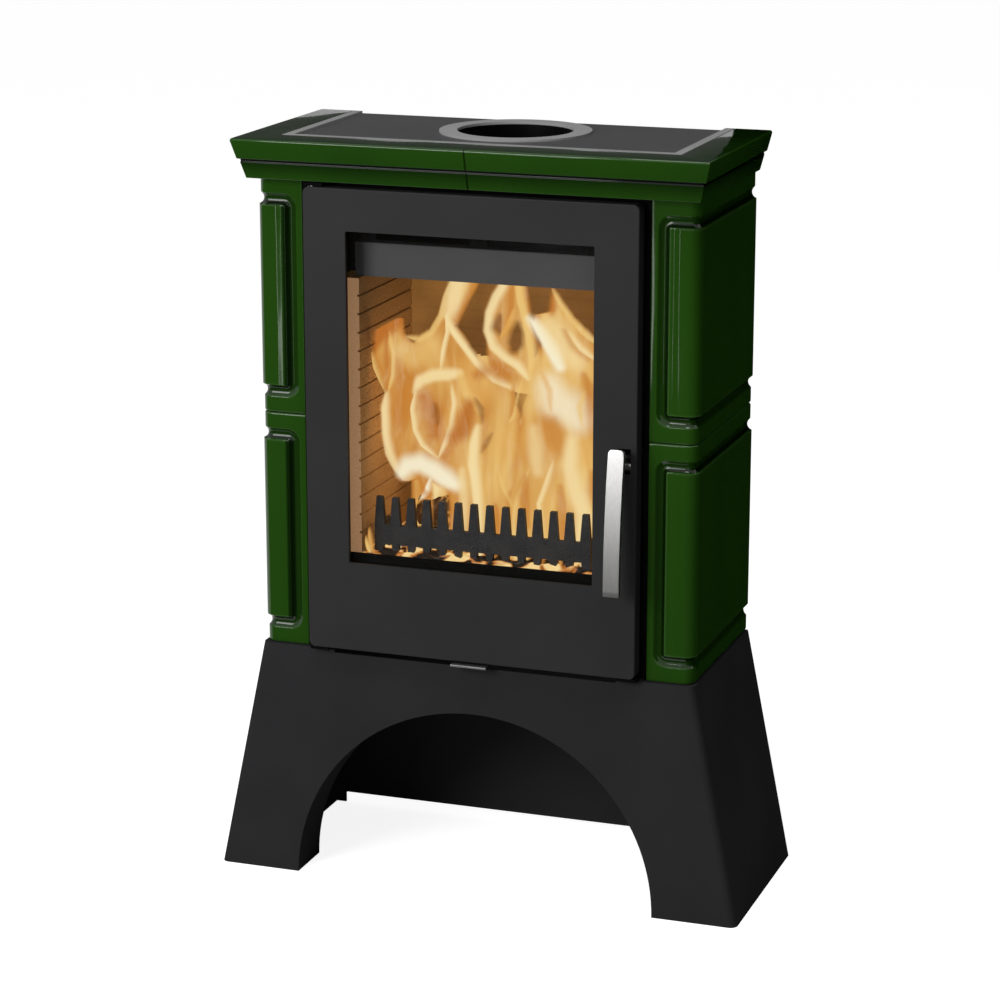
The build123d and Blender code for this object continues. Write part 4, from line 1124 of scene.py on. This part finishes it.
def build_ember(index, draw, finish):
    """A lump of burning wood: a low-poly ball pushed about by noise."""
    deselect()
    bpy.ops.mesh.primitive_ico_sphere_add(subdivisions=3, radius=1)
    piece = named(f"ember_{index:02d}")
    x = -EMBER_HALF_ROW + 2 * EMBER_HALF_ROW * (index + 0.5) / EMBER_COUNT + draw.uniform(-6, 6)
    depth = draw.choice((200, 190, 150, 110))
    size = draw.uniform(11, 17)
    stretch = draw.uniform(1.0, 1.6)
    for vertex in piece.data.vertices:
        push = 1 + 0.35 * noise.noise(vertex.co * 1.7 + Vector((index * 3.1, 0, 0)))
        push += 0.12 * noise.noise(vertex.co * 5 + Vector((0, index * 2.3, 0)))
        place = vertex.co * push * size
        vertex.co = (
            (x + place.x * stretch) * MM,
            y_at(depth - place.y * 0.9),
            max(EMBER_Z + place.z * 0.8, HEARTH_Z) * MM,
        )
    piece.data.update()
    pick(piece)
    bpy.ops.object.shade_smooth_by_angle(angle=math.radians(35))
    dress(piece, finish)


def build_log(name, start, end, radius, finish):
    """A burning log: a rough cylinder, its bark pushed about by noise."""
    deselect()
    run = Vector(end) - Vector(start)
    bpy.ops.mesh.primitive_cylinder_add(vertices=28, radius=1, depth=1, end_fill_type="TRIFAN")
    piece = named(name)
    with edit_mode(piece):
        bpy.ops.mesh.select_all(action="SELECT")
        bpy.ops.mesh.subdivide(number_cuts=5)
    turn = run.to_track_quat("Z", "Y")
    for vertex in piece.data.vertices:
        spin = math.atan2(vertex.co.y, vertex.co.x)
        bark = 0.1 * noise.noise(Vector((math.cos(spin) * 2, math.sin(spin) * 2, vertex.co.z * 4)))
        bark += 0.05 * noise.noise(Vector((math.cos(spin) * 7, math.sin(spin) * 7, vertex.co.z * 3)))
        x, y = vertex.co.x * radius * (1 + bark), vertex.co.y * radius * (1 + bark)
        spot = turn @ Vector((x, y, vertex.co.z * run.length)) + (Vector(start) + Vector(end)) / 2
        vertex.co = (spot.x * MM, y_at(spot.y), max(spot.z, HEARTH_Z) * MM)
    piece.data.update()
    tidy_mesh(piece, 40)
    dress(piece, finish)


class STOVE_OT_fire(bpy.types.Operator):
    """Model the logs, the embers and the flames"""

    bl_idname = "stove.fire"
    bl_label = "Wood fire"

    def execute(self, context):
        fire = context.scene.stove_fire
        gas = flame_finish(fire)
        paint_flame("front", 203, FLAME_AREA, 1.75, FLAME_MASSES, FLAME_STROKES, gas)
        paint_flame("back", 112, FLAME_AREA, 4, FLAME_MASSES, FLAME_STROKES, gas, flip=-0.9, squash=0.62)
        paint_flame("low", 217, (-140, 140, 441, 456), 1.5, (), LOW_STROKES, gas)
        paint_flame("edge", 236, (-161, -140, 441, 482), 1.5, (), EDGE_STROKES, gas)
        build_ember_bed(ember_bed_finish())
        draw = random.Random(4)
        embers = ember_finish()
        for index in range(EMBER_COUNT):
            build_ember(index, draw, embers)
        build_log("log_left", (-128, 96, 466), (60, 128, 470), 25, embers)
        build_log("log_right", (134, 100, 466), (-30, 150, 466), 24, embers)
        build_log("log_top", (-80, 112, 508), (96, 96, 512), 21, embers)
        deselect()
        bpy.ops.object.light_add(type="POINT", location=(0, y_at(150), 0.60))
        lamp = bpy.context.object
        lamp.name = "fire_glow"
        lamp.data.energy = fire.glow
        lamp.data.color = (1.0, 0.62, 0.32)
        lamp.data.shadow_soft_size = 0.09
        return {"FINISHED"}


# ---- finishes of the carried-over nodes -----------------------------------------------------------
class STOVE_OT_finishes(bpy.types.Operator):
    """Give every carried-over node its finish"""

    bl_idname = "stove.finishes"
    bl_label = "Steel, iron and brick"

    def execute(self, context):
        paint = context.scene.stove_paint
        slots = {
            "stove_paint": paint_finish("stove_paint", paint.door, paint.grain),
            "plinth_paint": paint_finish("plinth_paint", paint.plinth, paint.grain, 0.5, 0.0),
            "dark_sheet": paint_finish("dark_sheet", grey(0.013), paint.grain, 0.6),
            "frame_paint": paint_finish("frame_paint", grey(0.30), paint.grain, 0.4, 0.05),
            "shield_sheet": brushed_finish("shield_sheet", (0.42, 0.43, 0.44), (1, 1, 0.1), 0.48),
            "bright_steel": brushed_finish("bright_steel", (0.55, 0.55, 0.54), (0.05, 1, 1), 0.3),
            "cast_iron": iron_finish(),
            "fire_brick": brick_finish(),
            "glass": glass_finish(),
            "rope": rope_finish(),
        }
        soot = paint_finish("soot_black", grey(0.004), paint.grain, 0.8, 0.02)
        special = {
            # The band is black above 848 mm: painted shade in the gap over the window.
            "airwash_deflector": paint_and_painted_shade_finish(
                "band_paint", paint.grain, (0.8470, 0.8490), (0.088, 0.088, 0.090), grey(0.002), 0.55, 0.06
            ),
            # The collar is black below its rim: painted shade down the flue's hole.
            "flue_collar": paint_and_painted_shade_finish(
                "collar_paint_ring", paint.grain, (0.9755, 0.977), grey(0.001), grey(0.34), 0.45, 0.05
            ),
            # The back brick and the baffle glow with painted firelight.
            "back_brick": fire_lit_brick_finish(),
            "throat_baffle": fire_lit_brick_finish(),
            "air_slider": brushed_finish("dull_steel", grey(0.17), (0.05, 1, 1), 0.5),
            "top_plate": paint_finish("top_plate_paint", (0.060, 0.060, 0.062), paint.grain, 0.42, 0.15),
        }
        hidden = (
            "hinge_bracket_lower", "hinge_bracket_upper", "glass_seal", "glass_retainer", "face_plate",
            "door_rest", "firebox_roof", "firebox_side_left", "firebox_side_right", "firebox_back",
        )
        special.update({name: soot for name in hidden})
        for entry in frame["record"]["subparts"]:
            node = frame["nodes"][entry["node"]]
            finish = special.get(entry["node"], slots.get(entry["material_slot"]))
            if finish:
                for holder in node.material_slots:
                    holder.material = finish
        return {"FINISHED"}


# ---- stage ----------------------------------------------------------------------------------------
FLOOR_SIZE = 40


def add_softbox(name, place, aim, size, power):
    """A square area light at a place, turned to its aim."""
    deselect()
    bpy.ops.object.light_add(type="AREA", location=place)
    lamp = bpy.context.object
    lamp.name = name
    lamp.rotation_euler = (Vector(aim) - Vector(place)).to_track_quat("-Z", "Y").to_euler()
    lamp.data.shape = "RECTANGLE"
    lamp.data.size, lamp.data.size_y = size
    lamp.data.energy = power


def add_card(name, corner, across, up, level):
    """A card, black to grey, that only glossy surfaces show, from one corner along two sides."""
    deselect()
    bpy.ops.mesh.primitive_plane_add(size=1)
    card = named(name)
    for vertex in card.data.vertices:
        vertex.co = Vector(corner) + Vector(across) * (vertex.co.x + 0.5) + Vector(up) * (vertex.co.y + 0.5)
    finish = Finish(name)
    card.data.materials.append(
        finish.cover(finish.node("ShaderNodeEmission", {}, {"Color": grey(1), "Strength": level}))
    )
    card.visible_camera = card.visible_diffuse = card.visible_shadow = card.visible_transmission = False


def lay_floor():
    """A pale floor that looks almost white but lights the stove no more than a pale floor does."""
    deselect()
    bpy.ops.mesh.primitive_plane_add(size=1)
    floor = named("floor")
    for vertex in floor.data.vertices:
        vertex.co = vertex.co * FLOOR_SIZE
    finish = Finish("floor")
    matt = finish.node("ShaderNodeBsdfDiffuse", {}, {"Color": grey(0.62)})
    light = finish.node("ShaderNodeEmission", {}, {"Color": grey(1), "Strength": 0.88})
    both = finish.node("ShaderNodeAddShader", {}, {0: matt, 1: light})
    floor.data.materials.append(finish.cover_by_ray(matt, both))


def white_room(level):
    """A world that looks white and lights the stove at its own level."""
    room = Finish("studio", "worlds", "ShaderNodeOutputWorld")
    light = room.node("ShaderNodeBackground", {}, {"Color": grey(1), "Strength": level})
    white = room.node("ShaderNodeBackground", {}, {"Color": grey(1), "Strength": 1.0})
    return room.cover_by_ray(light, white)


class STOVE_OT_stage(bpy.types.Operator):
    """Lay the floor, hang the lights and place the camera"""

    bl_idname = "stove.stage"
    bl_label = "Stage"

    def execute(self, context):
        scene, stage = context.scene, context.scene.stove_stage
        scene.view_settings.view_transform = "Standard"
        scene.world = white_room(stage.world_level)
        lay_floor()
        add_card("black_flag", (0.1, 0.75, -0.02), (2.6, 0, 0), (0, 0, 1.4), 0.0)
        add_card("side_flag", (2.4, -3.4, -0.02), (0.3, 4.15, 0), (0, 0, 2.2), 0.002)
        add_card("grey_card", (-3.2, 1.6, 1.0), (4.8, 0, 0), (0, 0, 1.6), stage.card_level)
        add_card("floor_card", (-6, -0.5, 0.002), (11, 0, 0), (0, -8.5, 0), 0.03)
        add_card("side_floor_card", (0.36, 0.75, 0.002), (4.6, 0, 0), (0, -1.25, 0), 0.0)
        add_softbox("key_light", (-1.35, -3.0, 1.75), (0, 0, 0.6), (1.3, 1.5), stage.key_power)
        add_softbox("top_light", (0.1, -0.9, 3.2), (0, 0, 0.8), (1.1, 0.9), stage.top_power)
        add_softbox("strip_light", (-0.84, -3.0, 0.32), (-0.25, 0, 0.7), (0.12, 0.7), stage.strip_power)
        add_softbox("rim_light", (2.3, 0.7, 2.2), (0.3, 0, 0.7), (0.5, 0.8), stage.rim_power)

        deselect()
        bpy.ops.object.camera_add(
            location=stage.camera_place, rotation=(math.pi / 2 - stage.camera_pitch, 0, stage.camera_turn)
        )
        camera = context.object
        camera.name = "photo_camera"
        camera.data.sensor_width = 36
        camera.data.lens = stage.lens
        scene.camera = camera
        return {"FINISHED"}


# ---- panel and run --------------------------------------------------------------------------------
GROUPS = (
    ("stove_glaze", StoveGlaze), ("stove_paint", StovePaint),
    ("stove_fire", StoveFire), ("stove_stage", StoveStage),
)
OPERATORS = (
    STOVE_OT_finishes, STOVE_OT_tiles, STOVE_OT_cornice, STOVE_OT_handle, STOVE_OT_fire, STOVE_OT_stage,
)


class STOVE_PT_panel(bpy.types.Panel):
    """Lists the stove's operators and settings"""

    bl_idname = "STOVE_PT_panel"
    bl_label = "Tiled stove"
    bl_space_type = "VIEW_3D"
    bl_region_type = "UI"
    bl_category = "Stove"

    def draw(self, context):
        for operator in OPERATORS:
            self.layout.operator(operator.bl_idname)
        for name, group in GROUPS:
            box = self.layout.box()
            for setting in group.__annotations__:
                box.prop(getattr(context.scene, name), setting)


def register():
    for name, group in GROUPS:
        bpy.utils.register_class(group)
        setattr(bpy.types.Scene, name, bpy.props.PointerProperty(type=group))
    for kind in (*OPERATORS, STOVE_PT_panel):
        bpy.utils.register_class(kind)


def unregister():
    for kind in (STOVE_PT_panel, *reversed(OPERATORS)):
        bpy.utils.unregister_class(kind)
    for name, group in reversed(GROUPS):
        delattr(bpy.types.Scene, name)
        bpy.utils.unregister_class(group)


def main():
    """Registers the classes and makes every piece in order."""
    register()
    bpy.ops.stove.finishes()
    bpy.ops.stove.tiles()
    bpy.ops.stove.cornice()
    bpy.ops.stove.handle()
    bpy.ops.stove.fire()
    bpy.ops.stove.stage()


if __name__ == "__main__":
    main()
